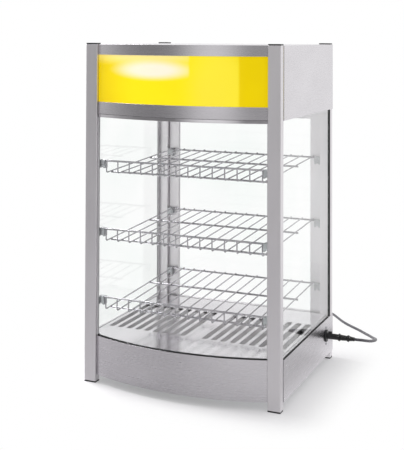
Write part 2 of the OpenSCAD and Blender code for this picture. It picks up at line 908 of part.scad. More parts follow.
module appliance_connector() {
  collar_d = 30;
  collar_l = 3;
  neck_d = 14;
  neck_x = panel_out + play + collar_l;
  neck_end = connector_x - 14;
  latch = [9, 6, 6];
  color("#1a1a1c") {
    difference() {
      union() {
        translate([post_out - nose_l + 1, inlet_y - nose[0] / 2, inlet_z - nose[1] / 2])
          cube([nose_l + sheet_t, nose[0], nose[1]]);
        translate([panel_out + play, inlet_y, inlet_z]) rotate([0, 90, 0])
          cylinder(d = collar_d, h = collar_l, $fn = round_fn);
        translate([neck_x - 1, inlet_y, inlet_z]) rotate([0, 90, 0])
          cylinder(d = neck_d, h = neck_end - neck_x + 1, $fn = round_fn);
        translate([neck_x + 3, inlet_y - latch[1] / 2, inlet_z + neck_d / 2 - 1]) cube(latch);
        translate([neck_x + 29.5, inlet_y, inlet_z]) rotate([0, 90, 0])
          cylinder(d = neck_d + 4, h = 3, $fn = round_fn);
        translate([neck_end - 4, inlet_y, inlet_z]) rotate([0, 90, 0])
          cylinder(d = neck_d + 2, h = 4, $fn = round_fn);
        translate([neck_end - eps, inlet_y, inlet_z]) rotate([0, 90, 0])
          cylinder(d1 = neck_d - 2, d2 = cord_d + 1.5, h = connector_x - neck_end + eps, $fn = round_fn);
      }
      at_contacts(post_out - nose_l - 1) cylinder(d = contact_d + 2 * running, h = 13, $fn = round_fn);
    }
  }
}

module power_cord() {
  color("#77757a") tube(free_path, cord_d / 2, cord_sides);
}

module cord_coil() {
  color("#77757a") tube(coil_path, cord_d / 2, coil_sides);
}

// The tie: a flat band round the coil's turns, on the side away from the cabinet.
module cord_tie() {
  low_r = coil_in_r - 1.8;
  high_r = coil_in_r + coil_layer * 1.625 + cord_d / 2 + 0.8;
  low_z = coil_z - cord_d / 2 - 0.3;
  high_z = coil_z + coil_layer + cord_d / 2 + 0.3;
  color("#161617") {
    translate([coil_centre[0] - tie_w / 2, coil_centre[1], 0]) {
      difference() {
        translate([0, low_r - tie_t, low_z - tie_t])
          cube([tie_w, high_r - low_r + 2 * tie_t, high_z - low_z + 2 * tie_t]);
        translate([-1, low_r, low_z]) cube([tie_w + 2, high_r - low_r, high_z - low_z]);
      }
    }
  }
}

// The mains plug: round earthed type, lying on the ground beside the coil.
module mains_plug() {
  relief_l = 24;
  shoulder = 10;
  body_l = 32;
  prong_l = 19;
  prong_d = 4.8;
  prong_gap = 19;
  slot = [5, 6];
  color("#1a1a1c") {
    translate([plug_x, coil_exit[1], plug_z]) rotate([0, -90, 0]) {
      cylinder(d1 = cord_d + 2, d2 = 16, h = relief_l, $fn = round_fn);
      translate([0, 0, relief_l - eps])
        cylinder(d1 = plug_d * 0.6, d2 = plug_d - 4, h = shoulder, $fn = round_fn);
      difference() {
        translate([0, 0, relief_l + shoulder - 2])
          cylinder(d = plug_d, h = body_l - shoulder + 2, $fn = round_fn);
        for (s = [-1, 1]) {
          translate([s * (plug_d / 2 - 1.5) - (s < 0 ? slot[0] : 0), -slot[1] / 2, relief_l + 2 * shoulder])
            cube([slot[0], slot[1], body_l]);
        }
      }
      for (s = [-1, 1]) {
        translate([0, s * prong_gap / 2, relief_l + body_l - eps])
          cylinder(d = prong_d, h = prong_l, $fn = round_fn);
      }
    }
  }
}

// Screws: two at the inlet, and rows on the rear wall of the base and of the header.
module side_screw(y, z) {
  translate([post_out - 8, y, z]) rotate([0, 90, 0]) cylinder(d = screw_d, h = 8 + sheet_t, $fn = round_fn);
  translate([panel_out, y, z]) rotate([0, 90, 0]) cylinder(d = 6, h = 1.4, $fn = round_fn);
}

module rear_screw(x, z) {
  translate([x, rear_y, z]) rotate([-90, 0, 0]) {
    cylinder(d = 7, h = 2, $fn = round_fn);
    translate([0, 0, -8]) cylinder(d = screw_d, h = 8 + eps, $fn = round_fn);
  }
}
rear_screw_xs = [-post_in + 14, post_in - 14];
base_screw_zs = [base_lift + 12, sill_z - 14];
header_screw_zs = [header_z + 16, post_top - 18];

module rear_screw_holes(zs) {
  for (x = rear_screw_xs) {
    for (z = zs) {
      translate([x, rear_y + 1, z]) rotate([90, 0, 0])
        cylinder(d = screw_d + 2 * running, h = sheet_t + 2, $fn = round_fn);
    }
  }
}

module panel_screws() {
  color("#c4c4c6") {
    for (s = [-1, 1]) {
      side_screw(inlet_y, inlet_z + s * inlet_screw_gap / 2);
    }
    for (x = rear_screw_xs) {
      for (z = concat(base_screw_zs, header_screw_zs)) {
        rear_screw(x, z);
      }
    }
  }
}

// The header: two bars bent to the front curve; the sign stands on the lower bar's flange behind both.
module header_upper_bar() {
  half = post_in - play;
  color("#a2a2a4") {
    bow_strip(0, bar_t, half, sign_top, upper_bar_h);
    bow_strip(bar_t - eps, flange_w, half, post_top - sheet_t, sheet_t);
  }
}

module header_lower_bar() {
  half = post_in - play;
  lip_in = glass_setback - play - sheet_t;
  color("#a2a2a4") {
    bow_strip(0, bar_t, half, header_z, lower_bar_h);
    bow_strip(0, flange_w, half, header_z, sheet_t);
    bow_strip(lip_in, lip_in + sheet_t, half, lip_z, lip_h + eps);
  }
}

module sign_panel() {
  sign_in = bar_t + play;
  color("#ffe21a")
    bow_strip(sign_in, sign_in + sign_t, post_in - 1, header_z + sheet_t, header_h - 2 * sheet_t - play);
}

// Side panel of the header, with flanges under the top cover and under the floor.
module header_side(s) {
  flange_x = s < 0 ? -post_out - eps : post_out - flange_w;
  translate([s < 0 ? -panel_out : post_out, front_in_y + play, header_z])
    cube([sheet_t, rear_y - front_in_y - play, header_h]);
  for (z = [header_z, post_top - 2 * sheet_t]) {
    translate([flange_x, front_in_y + play, z])
      cube([flange_w + eps, rear_in_y - front_in_y - 2 * play, sheet_t]);
  }
}

module header_side_left() {
  color("#c6c6c8") header_side(-1);
}

module header_side_right() {
  color("#c6c6c8") header_side(1);
}

module header_top() {
  color("#b0b0b2")
    translate([0, 0, post_top - sheet_t]) linear_extrude(sheet_t)
      floor_plan(flange_w + play, post_out - play, play);
}

module header_rear_panel() {
  half = post_in - play;
  color("#b0b0b2") {
    difference() {
      translate([-half, rear_y - sheet_t, header_z]) cube([2 * half, sheet_t, header_h]);
      rear_screw_holes(header_screw_zs);
    }
  }
}

lamp_l = 2 * (post_in - lamp_margin);
window_l = 2 * (post_in - window_margin);
lamp_y = bow_end_y + 45;
lamp_z = (sign_z + sign_top) / 2;
window_edge = 5;

module header_floor() {
  color("#c8c8ca") {
    translate([0, 0, header_z + sheet_t]) {
      linear_extrude(sheet_t) {
        difference() {
          floor_plan(bar_t + sign_t + 2 * play, post_out - play, play);
          translate([0, lamp_y]) square([window_l, window_w], center = true);
        }
      }
    }
  }
}
header_floor_top = header_z + 2 * sheet_t;

module light_window() {
  window_t = 2;
  color("#f4f2ea")
    translate([-window_l / 2 - window_edge, lamp_y - window_w / 2 - window_edge, header_floor_top])
      cube([window_l + 2 * window_edge, window_w + 2 * window_edge, window_t]);
}

// The sign lamp: a tube with an end pin in each holder.
lamp_pin_d = 8;
lamp_pin_l = 7;
holder_l = 14;
holder_w = 24;

module lamp_tube() {
  color("#fbf8ec") {
    translate([-lamp_l / 2 + play, lamp_y, lamp_z]) rotate([0, 90, 0])
      cylinder(d = lamp_d, h = lamp_l - 2 * play, $fn = round_fn);
    translate([-lamp_l / 2 - lamp_pin_l + 1, lamp_y, lamp_z]) rotate([0, 90, 0])
      cylinder(d = lamp_pin_d, h = lamp_l + 2 * lamp_pin_l - 2, $fn = round_fn);
  }
}

module lamp_holders() {
  holder_z = header_floor_top;
  color("#ecebe6") {
    for (s = [-1, 1]) {
      difference() {
        translate([s * (lamp_l + holder_l) / 2 - holder_l / 2, lamp_y - holder_w / 2, holder_z])
          cube([holder_l, holder_w, lamp_z + lamp_d / 2 + 4 - holder_z]);
        translate([s * lamp_l / 2, lamp_y, lamp_z]) rotate([0, 90, 0])
          cylinder(d = lamp_pin_d + 2 * running, h = 2 * lamp_pin_l, center = true, $fn = round_fn);
      }
    }
  }
}

// The rear door: two stiles and two rails round a pane, hung on two pinned hinges.
module door_pane(grow) {
  half = door_half - stile_w + pane_edge;
  low = door_z + door_rail_h - pane_edge;
  high = door_top - door_rail_h + pane_edge;
  translate([-half - grow, door_y + (door_t - glass_t) / 2 - grow, low - grow])
    cube([2 * (half + grow), glass_t + 2 * grow, high - low + 2 * grow]);
}

module door_stiles() {
  color("#b8b6b8") {
    difference() {
      for (x = [-door_half, door_half - stile_w]) {
        translate([x, door_y, door_z]) cube([stile_w, door_t, door_top - door_z]);
      }
      door_pane(0.1);
    }
  }
}

module door_rails() {
  half = door_half - stile_w;
  color("#b8b6b8") {
    difference() {
      for (z = [door_z, door_top - door_rail_h]) {
        translate([-half, door_y, z]) cube([2 * half, door_t, door_rail_h]);
      }
      door_pane(0.1);
    }
  }
}

module door_glass() {
  color([0.75, 0.85, 0.86, 0.35]) door_pane(0);
}

module door_handle() {
  grip_y = door_face_y + handle_reach - grip_d / 2;
  color("#8e8c90") {
    translate([handle_x, grip_y, handle_z - handle_l / 2]) cylinder(d = grip_d, h = handle_l, $fn = round_fn);
    for (s = [-1, 1]) {
      translate([handle_x, door_face_y, handle_z + s * (handle_l / 2 - standoff_inset)]) rotate([-90, 0, 0])
        cylinder(d = standoff_d, h = handle_reach - grip_d / 2, $fn = round_fn);
    }
  }
}

// One hinge knuckle, bored for the pin, from z over its height.
module knuckle(z, h) {
  translate([hinge_x, hinge_y, z]) cylinder(d = knuckle_d, h = h, $fn = round_fn);
}

module pin_bore(z) {
  translate([hinge_x, hinge_y, z - 2 * knuckle_h])
    cylinder(d = pin_d + 2 * running, h = 4 * knuckle_h, $fn = round_fn);
}

// Fixed side of the hinges: a leaf on the post and an upper and a lower knuckle.
module door_hinges() {
  fixed_leaf_t = 3;
  color("#c0bec0") {
    for (z = hinge_zs) {
      difference() {
        union() {
          translate([-post_in - leaf_w, rear_y, z - 1.5 * knuckle_h])
            cube([leaf_w, fixed_leaf_t, 3 * knuckle_h]);
          for (low = [z - 1.5 * knuckle_h, z + 0.5 * knuckle_h]) {
            knuckle(low, knuckle_h);
            translate([hinge_x - knuckle_d / 2, rear_y, low])
              cube([knuckle_d / 2, hinge_y - rear_y, knuckle_h]);
          }
        }
        pin_bore(z);
      }
    }
  }
}

// Moving side of the hinges: a leaf on the door and a middle knuckle.
module door_hinge_leaves() {
  leaf_x = hinge_x + knuckle_d / 2 + 0.5;
  height = knuckle_h - 2 * play;
  color("#c0bec0") {
    for (z = hinge_zs) {
      difference() {
        union() {
          translate([leaf_x, door_face_y, z - 1.5 * knuckle_h]) cube([leaf_w, leaf_t, 3 * knuckle_h]);
          knuckle(z - height / 2, height);
          translate([hinge_x + play, door_face_y, z - height / 2]) cube([leaf_x - hinge_x, leaf_t, height]);
          translate([hinge_x + play, door_face_y, z - height / 2])
            cube([knuckle_d / 2 - play, hinge_y - door_face_y, height]);
        }
        pin_bore(z);
      }
    }
  }
}

module hinge_pins() {
  color("#d0ced0") {
    for (z = hinge_zs) {
      translate([hinge_x, hinge_y, z - 1.5 * knuckle_h])
        cylinder(d = pin_d, h = 3 * knuckle_h + eps, $fn = round_fn);
      translate([hinge_x, hinge_y, z + 1.5 * knuckle_h]) cylinder(d = pin_d + 2, h = 1.5, $fn = round_fn);
    }
  }
}

// Magnet catch: hangs from the header floor just inside the door's top rail.
module door_catch() {
  size = [40, 12, 14];
  catch_x = door_half - stile_w - size[0] - 10;
  color("#1e1e20")
    translate([catch_x, door_y - play - size[1], header_z + sheet_t - size[2]]) cube(size);
}

// Front of a shelf whose front rail is at z: the rail, and each wire's drop and bend.
module shelf_front(z) {
  color("#8e8c90") {
    translate([-rail_end, front_rail_y, z]) rotate([0, 90, 0])
      cylinder(d = rail_d, h = 2 * rail_end, $fn = wire_fn);
    for (i = [0:wire_count - 1]) {
      translate([i * wire_pitch - wire_reach, front_rail_y, z - shelf_drop + wire_bend]) {
        cylinder(d = wire_d, h = shelf_drop - wire_bend, $fn = wire_fn);
        translate([0, wire_bend, 0]) rotate([90, 0, 90]) rotate([0, 0, 180])
          rotate_extrude(angle = 90 + wire_slope, $fn = 4 * wire_fn)
            translate([wire_bend, 0]) circle(d = wire_d, $fn = wire_fn);
      }
    }
  }
}

// Rack of a shelf: the long wires, welded on two cross rails and the rear rail.
module shelf_rack(z) {
  run_y = front_rail_y + wire_bend * (1 + sin(wire_slope));
  run_z = z - shelf_drop + wire_bend * (1 - cos(wire_slope));
  run = (rear_rail_y + wire_d / 2 - run_y) / cos(wire_slope);
  cross_ys = [front_rail_y + wire_bend + cross_back, middle_cross_y, rear_rail_y];
  cross_halves = [wire_reach + wire_d / 2 + 0.5, wire_reach + wire_d / 2 + 2.5, rail_end];
  color("#8e8c90") {
    for (i = [0:wire_count - 1]) {
      translate([i * wire_pitch - wire_reach, run_y, run_z]) rotate([wire_slope - 90, 0, 0])
        cylinder(d = wire_d, h = run, $fn = wire_fn);
    }
    for (i = [0:2]) {
      cross_z = run_z + (cross_ys[i] - run_y) * tan(wire_slope) - cross_under;
      translate([-cross_halves[i], cross_ys[i], cross_z]) rotate([0, 90, 0])
        cylinder(d = rail_d, h = 2 * cross_halves[i], $fn = wire_fn);
    }
  }
}
rear_rail_drop = shelf_drop - wire_bend * (1 - cos(wire_slope)) + cross_under
  - (rear_rail_y - front_rail_y - wire_bend * (1 + sin(wire_slope))) * tan(wire_slope);

module top_shelf_front() {
  shelf_front(shelf_z[2]);
}

module top_shelf_rack() {
  shelf_rack(shelf_z[2]);
}

module middle_shelf_front() {
  shelf_front(shelf_z[1]);
}

module middle_shelf_rack() {
  shelf_rack(shelf_z[1]);
}

module bottom_shelf_front() {
  shelf_front(shelf_z[0]);
}

module bottom_shelf_rack() {
  shelf_rack(shelf_z[0]);
}

// Clip on a post's inner face: a block with a groove for the rail's end, a notch below and a nub above.
module shelf_clip(s, rail_y, low_y, depth, z) {
  top = z + 1.5;
  x_low = s < 0 ? -post_in : post_in - clip_reach;
  difference() {
    union() {
      translate([x_low, low_y, top - clip_h]) cube([clip_reach, depth, clip_h]);
      translate([x_low + clip_reach / 2 - 2, low_y, top - eps]) cube([4, clip_wall, 2]);
    }
    translate([x_low - 1, rail_y, z]) {
      rotate([0, 90, 0]) cylinder(d = rail_d + 2 * play, h = clip_reach + 2, $fn = round_fn);
      translate([0, -rail_d / 2 - play, 0]) cube([clip_reach + 2, rail_d + 2 * play, clip_h]);
    }
    translate([x_low + clip_reach / 2, low_y - 1, top - clip_h]) rotate([0, 45, 0])
      translate([-notch / 2, 0, -notch / 2]) cube([notch, depth + 2, notch]);
  }
}
notch = 7;
front_clip_d = 16;

module shelf_clips() {
  low_y = front_rail_y - rail_d / 2 - play - clip_wall;
  color("#7c7a7e") {
    for (z = shelf_z) {
      for (s = [-1, 1]) {
        shelf_clip(s, front_rail_y, low_y, front_clip_d, z);
        shelf_clip(s, rear_rail_y, rear_in_y, rear_clip_d, z - rear_rail_drop);
      }
    }
  }
}

front_post_left();
front_post_right();
rear_post_left();
rear_post_right();
post_caps();
feet();
base_fascia();
base_side_left();
base_side_right();
base_rear_panel();
base_floor();
front_gasket();
glass_seals();
air_tray();
air_probe();
heating_element();
element_brackets();
thermostat();
thermostat_knob();
switch_housings();
heat_rocker();
light_rocker();
terminal_block();
power_inlet();
panel_screws();
header_upper_bar();
header_lower_bar();
sign_panel();
header_side_left();
header_side_right();
header_top();
header_rear_panel();
header_floor();
light_window();
lamp_tube();
lamp_holders();
front_glass();
side_glass_left();
side_glass_right();
door_stiles();
door_rails();
door_glass();
door_handle();
door_hinges();
door_hinge_leaves();
hinge_pins();
door_catch();
top_shelf_rack();
top_shelf_front();
middle_shelf_rack();
middle_shelf_front();
bottom_shelf_rack();
bottom_shelf_front();
shelf_clips();
appliance_connector();
power_cord();
cord_coil();
cord_tie();
mains_plug();
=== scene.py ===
import json
import math
import bmesh
import bpy
from mathutils import Matrix, Vector

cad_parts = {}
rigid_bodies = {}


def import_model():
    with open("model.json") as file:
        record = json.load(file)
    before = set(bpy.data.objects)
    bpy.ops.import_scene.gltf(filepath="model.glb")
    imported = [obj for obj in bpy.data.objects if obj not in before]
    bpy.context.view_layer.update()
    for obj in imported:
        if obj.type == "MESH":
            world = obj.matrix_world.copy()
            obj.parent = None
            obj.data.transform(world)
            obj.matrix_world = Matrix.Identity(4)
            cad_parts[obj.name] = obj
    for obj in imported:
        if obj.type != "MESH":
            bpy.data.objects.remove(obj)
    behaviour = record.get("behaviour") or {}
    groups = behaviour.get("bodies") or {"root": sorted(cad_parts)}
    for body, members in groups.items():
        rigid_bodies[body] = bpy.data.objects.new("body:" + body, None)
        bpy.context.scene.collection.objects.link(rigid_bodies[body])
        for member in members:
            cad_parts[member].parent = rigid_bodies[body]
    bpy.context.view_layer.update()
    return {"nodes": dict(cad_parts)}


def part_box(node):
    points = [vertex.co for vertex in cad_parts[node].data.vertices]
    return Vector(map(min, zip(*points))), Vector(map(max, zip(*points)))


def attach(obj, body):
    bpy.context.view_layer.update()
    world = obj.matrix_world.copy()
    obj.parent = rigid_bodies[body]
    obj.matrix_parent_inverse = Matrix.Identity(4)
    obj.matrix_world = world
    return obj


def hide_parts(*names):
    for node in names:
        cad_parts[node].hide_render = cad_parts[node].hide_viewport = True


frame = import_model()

scene = bpy.context.scene
node = frame["nodes"]
MM = 0.001


# ---------------------------------------------------------------- small helpers

def linear(code):
    """A hex sRGB colour as the linear RGBA that Blender reads."""
    parts = [int(code[i:i + 2], 16) / 255 for i in (1, 3, 5)]
    return (*[c / 12.92 if c <= 0.04045 else ((c + 0.055) / 1.055) ** 2.4 for c in parts], 1.0)


def put(tree, kind, inputs=None, **settings):
    """Adds one node to a tree: its settings, then a value or a link on each named input."""
    made = tree.nodes.new(kind)
    for name, value in settings.items():
        setattr(made, name, value)
    for key, value in (inputs or {}).items():
        if isinstance(value, bpy.types.NodeSocket):
            tree.links.new(value, made.inputs[key])
        else:
            made.inputs[key].default_value = value
    return made


def place(name, data):
    """Puts a mesh, curve, light or camera into the scene as an object at the origin."""
    made = bpy.data.objects.new(name, data)
    scene.collection.objects.link(made)
    return made


def baked(piece):
    """The piece as a plain mesh, with its modifiers applied and removed."""
    bpy.context.view_layer.update()
    mesh = bpy.data.meshes.new_from_object(piece.evaluated_get(bpy.context.evaluated_depsgraph_get()))
    name = piece.name
    bpy.data.objects.remove(piece)
    return place(name, mesh)


# ---------------------------------------------------------------- camera: solved from the photo's edges

CAMERA_AT = (0.91228, -2.24333, 0.81488)
CAMERA_TURN, CAMERA_TILT, CAMERA_ROLL = 0.42413, 0.02279, 0.00401

lens = bpy.data.cameras.new("photo_camera")
lens.sensor_width = 36
lens.lens = 78.12
lens.shift_x = 0.0561
lens.shift_y = -0.4676
lens.clip_start = 0.05
lens.clip_end = 60
camera = place("photo_camera", lens)
camera.matrix_world = (
    Matrix.Translation(CAMERA_AT)
    @ Matrix.Rotation(CAMERA_TURN, 4, "Z")
    @ Matrix.Rotation(math.pi / 2 + CAMERA_TILT, 4, "X")
    @ Matrix.Rotation(CAMERA_ROLL, 4, "Z")
)
scene.camera = camera


# ---------------------------------------------------------------- mains lead: free run, then the stored coil

# Sizes in mm, as in the part's source.
CORD_D = 7.0
lead = [
    (317, 150, 70.5), (324, 150, 70.5), (333, 156, 69), (340, 172, 64), (344, 196, 57), (345, 228, 49),
    (342, 264, 40), (335, 300, 31), (325, 334, 22), (312, 366, 14), (297, 397, 8), (277, 426, 4.5),
    (254, 452, 3.6), (230, 474, 3.6), (207, 496, 3.6), (185, 522, 3.6), (165, 550, 3.6), (144, 576, 3.6),
    (118, 590, 3.6), (94, 582, 3.6), (79, 560, 3.6), (72, 530, 3.6), (71, 498, 4.2), (71, 466, 5),
    (71, 444, 5), (71, 437, 5),
]
COIL = (24.6375, 430.0)
COIL_R, COIL_Z = 30, 5
TURNS, TURN_STEPS = 4.25, 16
LAYER = 7.7
# From the coil's last point the cord rises to the plug over RISE_L.
PLUG_Z, RISE_L = 18.8, 43


def eased(t):
    """0 to 1 with a soft start and end."""
    t = min(1.0, max(0.0, t))
    return t * t * (3 - 2 * t)


def coil_point(t):
    """A point of the coil after t turns: inwards on the lower layer, then outwards on the upper one."""
    r = COIL_R + LAYER * abs(t - TURNS / 2)
    a = math.radians(-360 * t)
    climb = eased((t - TURNS / 2 + 0.25) / 0.5)
    return (COIL[0] + r * math.cos(a), COIL[1] + r * math.sin(a), COIL_Z + LAYER * climb)


steps = round(TURNS * TURN_STEPS)
coil = [coil_point(TURNS * i / steps) for i in range(steps + 1)]
tail_y, tail_z = coil[-1][1:]
tail = [(COIL[0] - s, tail_y, tail_z + (PLUG_Z - tail_z) * eased(s / RISE_L)) for s in (12, 24, 36, 43, 50)]
route = [Vector(p) * MM for p in lead + coil + tail]

sheath = bpy.data.curves.new("mains_lead", "CURVE")
sheath.dimensions = "3D"
sheath.resolution_u = 4
sheath.bevel_depth = 1.0
sheath.bevel_resolution = 4
sheath.use_fill_caps = True
line = sheath.splines.new("BEZIER")
line.bezier_points.add(len(route) - 1)
for i, point in enumerate(line.bezier_points):
    before, after = route[max(i - 1, 0)], route[min(i + 1, len(route) - 1)]
    along = (after - before).normalized()
    point.handle_left_type = point.handle_right_type = "FREE"
    point.radius = CORD_D / 2 * MM
    point.co = route[i]
    point.handle_left = route[i] - along * (route[i] - before).length / 3
    point.handle_right = route[i] + along * (after - route[i]).length / 3
mains_lead = place("mains_lead", sheath)
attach(mains_lead, "cabinet")
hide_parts("power_cord", "cord_coil")


# ---------------------------------------------------------------- finishes

def pattern(tree, at, size, detail=3.0, seed=0.0):
    """A soft random pattern whose patches measure size mm along X, Y and Z."""
    fitted = put(tree, "ShaderNodeMapping", {"Vector": at, "Location": (seed, seed, seed),
                                             "Scale": tuple(1000 / s for s in size)})
    return put(tree, "ShaderNodeTexNoise", {"Vector": fitted.outputs[0], "Scale": 1.0, "Detail": detail,
                                            "Roughness": 0.55}).outputs["Fac"]


def finish(name, dark, light, grain, cloud, rough, metallic=0.0, height=0.02, **shader):
    """A material whose colour clouds between two tones and whose grain moves its gloss and its height.
    grain and cloud are pattern sizes in mm along X, Y and Z, rough its two ends, height the grain's in mm."""
    made = bpy.data.materials.new(name)
    made.use_nodes = True
    tree = made.node_tree
    tree.nodes.clear()
    at = put(tree, "ShaderNodeTexCoord").outputs["Object"]
    fine = pattern(tree, at, grain)
    clouds = pattern(tree, at, cloud, 2.0, 3.7)
    broad = put(tree, "ShaderNodeMapRange", {"Value": clouds, "From Min": 0.35, "From Max": 0.65}).outputs[0]
    colour = put(tree, "ShaderNodeMix", {0: broad, 6: linear(dark), 7: linear(light)}, data_type="RGBA")
    gloss = put(tree, "ShaderNodeMapRange", {"Value": fine, "From Min": 0.3, "From Max": 0.7,
                                             "To Min": rough[0], "To Max": rough[1]})
    relief = put(tree, "ShaderNodeBump", {"Height": fine, "Distance": height * MM, "Strength": 0.6})
    shade = put(tree, "ShaderNodeBsdfPrincipled", {
        "Base Color": colour.outputs[2], "Roughness": gloss.outputs[0], "Normal": relief.outputs[0],
        "Metallic": metallic, **{k.replace("_", " "): v for k, v in shader.items()}})
    put(tree, "ShaderNodeOutputMaterial", {"Surface": shade.outputs[0]})
    return made, tree, at, shade


# Anodised aluminium extrusion, satin-etched before dyeing: a soft grey with faint die lines down its length.
satin_aluminium, *_ = finish("satin_anodised_aluminium", "#e2dfe2", "#e9e6e9", (1.2, 1.2, 90), (60, 60, 260),
                             (0.38, 0.46), metallic=0.92, height=0.006)
# Stainless sheet, brushed along the panel with a 180 grit belt: long horizontal streaks.
brushed_steel, *_ = finish("brushed_stainless_steel", "#d2cfd3", "#d9d6da", (70, 70, 0.9), (260, 260, 90),
                           (0.25, 0.285), metallic=1.0, height=0.001)
# Galvanised sheet: a dull zinc skin with spangles about 12 mm across.
plain_steel, *_ = finish("galvanised_sheet_steel", "#b4b6b9", "#c8cacd", (6, 6, 6), (12, 12, 12),
                         (0.42, 0.6), metallic=0.45, height=0.02)
# Bright-annealed stainless tray, polished: nearly a mirror, with a slight waviness from rolling.
tray_steel, *_ = finish("bright_annealed_stainless", "#d3d0d4", "#dddade", (40, 90, 40), (120, 180, 120),
                        (0.1, 0.16), metallic=1.0, height=0.02)
# The same sheet below the tray's top, rougher and painted darker: painted shade under the tray.
tray_steel_painted_shade, *_ = finish("heat_dulled_stainless", "#918e90", "#a19ea1", (8, 8, 8), (40, 40, 40),
                          (0.34, 0.46), metallic=1.0, height=0.02)
# Chrome-plated steel wire: bright and smooth.
wire_chrome, *_ = finish("chrome_plated_wire", "#97959a", "#a8a6aa", (3, 3, 3), (40, 40, 40),
                         (0.08, 0.16), metallic=1.0, height=0.01)
# Zinc-plated and passivated hardware: a satin grey, slightly cool.
zinc_hardware, *_ = finish("zinc_plated_hardware", "#9fa1a4", "#b1b3b6", (1.5, 1.5, 1.5), (14, 14, 14),
                           (0.3, 0.42), metallic=1.0, height=0.015)
# Nickel alloy tube of the element, browned by heat in use.
heater_steel, *_ = finish("heat_tinted_nickel_alloy_tube", "#3d3a38", "#5d5652", (3, 3, 3), (30, 30, 12),
                          (0.45, 0.62), metallic=1.0, height=0.02)
# ABS mouldings, spark-eroded tool surface: a fine even grain, drawn at 0.9 mm so that it shows.
black_abs, *_ = finish("moulded_black_abs", "#161618", "#1e1e20", (0.9, 0.9, 0.9), (30, 30, 30),
                       (0.3, 0.42), height=0.02)
# EPDM rubber extrusion: matt, a little chalky.
black_rubber, *_ = finish("extruded_epdm_rubber", "#161617", "#212123", (1.6, 1.6, 1.6), (25, 25, 25),
                          (0.6, 0.75), height=0.03)
# PVC sheath of the lead: mid grey, slightly soft shine.
cord_pvc, *_ = finish("grey_pvc_sheath", "#55535a", "#636167", (3, 3, 3), (20, 20, 20),
                      (0.38, 0.46), height=0.012)
# Opal polycarbonate: milky, lets light through softly.
opal_plastic, *_ = finish("opal_polycarbonate", "#f2f1ec", "#faf9f4", (4, 4, 4), (60, 60, 60),
                          (0.35, 0.45), height=0.01, Subsurface_Weight=0.4)
# Phenolic mouldings of the electric parts: ivory, semi-matt.
pale_plastic, *_ = finish("moulded_ivory_phenolic", "#d8d3c4", "#e4dfd1", (0.9, 0.9, 0.9), (20, 20, 20),
                          (0.4, 0.55), height=0.02)
# Rocker of the heat switch: translucent red polycarbonate.
red_plastic, *_ = finish("translucent_red_polycarbonate", "#a5140f", "#b91c14", (1.2, 1.2, 1.2), (12, 12, 12),
                         (0.16, 0.26), height=0.01)
# Rocker of the light switch: translucent green polycarbonate.
green_plastic, *_ = finish("translucent_green_polycarbonate", "#0f7a35", "#168c40", (1.2, 1.2, 1.2),
                           (12, 12, 12), (0.16, 0.26), height=0.01)

# Float glass, fire-polished: clear, faint green; lamps reach through it as light does through a real pane.
clear_glass, tree, _, shade = finish("clear_float_glass", "#fbfdfc", "#ffffff", (120, 120, 120),
                                     (200, 200, 200), (0.0, 0.005), height=0.0, Transmission_Weight=1.0,
                                     IOR=1.27)
rays = put(tree, "ShaderNodeLightPath").outputs
let_through = put(tree, "ShaderNodeMath", {0: rays["Is Shadow Ray"], 1: rays["Is Diffuse Ray"]},
                  operation="MAXIMUM").outputs[0]
see_through = put(tree, "ShaderNodeBsdfTransparent", {"Color": linear("#fdfefd")}).outputs[0]
pane = put(tree, "ShaderNodeMixShader", {0: let_through, 1: shade.outputs[0], 2: see_through}).outputs[0]
put(tree, "ShaderNodeOutputMaterial", {"Surface": pane}, is_active_output=True)

# Cast acrylic sign panel, dyed yellow and lit from behind by the tube. Its glow also carries a painted
# highlight:
# a pale strip along its top and a pale spot above and left of its middle.
sign_acrylic, tree, at, shade = finish("lit_yellow_acrylic", "#ecc800", "#f2ce00", (2.5, 2.5, 2.5),
                                       (90, 90, 90), (0.08, 0.12), height=0.004, Specular_IOR_Level=0.22)

# Half the width in metres over which a patch, of glow or of painted highlight, ends at its edge.
JOINT_BLUR = 0.003


def glow_and_highlight_patch(tree, at, centre, reach, near, far, edge):
    """1 inside an oval patch on the sign, 0 outside it: a patch of glow or of painted highlight; centre and
    reach in metres, near and far its soft rim. It ends edge metres right of the middle: the glow at a joint
    in the diffuser behind the sign, the painted highlight where it is cut off."""
    shifted = put(tree, "ShaderNodeVectorMath", {0: at, 1: centre}, operation="SUBTRACT")
    scaled = put(tree, "ShaderNodeVectorMath", {0: shifted.outputs[0], 1: reach}, operation="DIVIDE")
    away = put(tree, "ShaderNodeVectorMath", {0: scaled.outputs[0]}, operation="LENGTH")
    oval = put(tree, "ShaderNodeMapRange", {
        "Value": away.outputs["Value"], "From Min": near, "From Max": far, "To Min": 1.0, "To Max": 0.0},
        interpolation_type="SMOOTHSTEP").outputs[0]
    across = put(tree, "ShaderNodeSeparateXYZ", {0: at}).outputs[0]
    end = put(tree, "ShaderNodeMapRange", {
        "Value": across, "From Min": edge - JOINT_BLUR, "From Max": edge + JOINT_BLUR,
        "To Min": 1.0, "To Max": 0.0}).outputs[0]
    return put(tree, "ShaderNodeMath", {0: oval, 1: end}, operation="MULTIPLY").outputs[0]


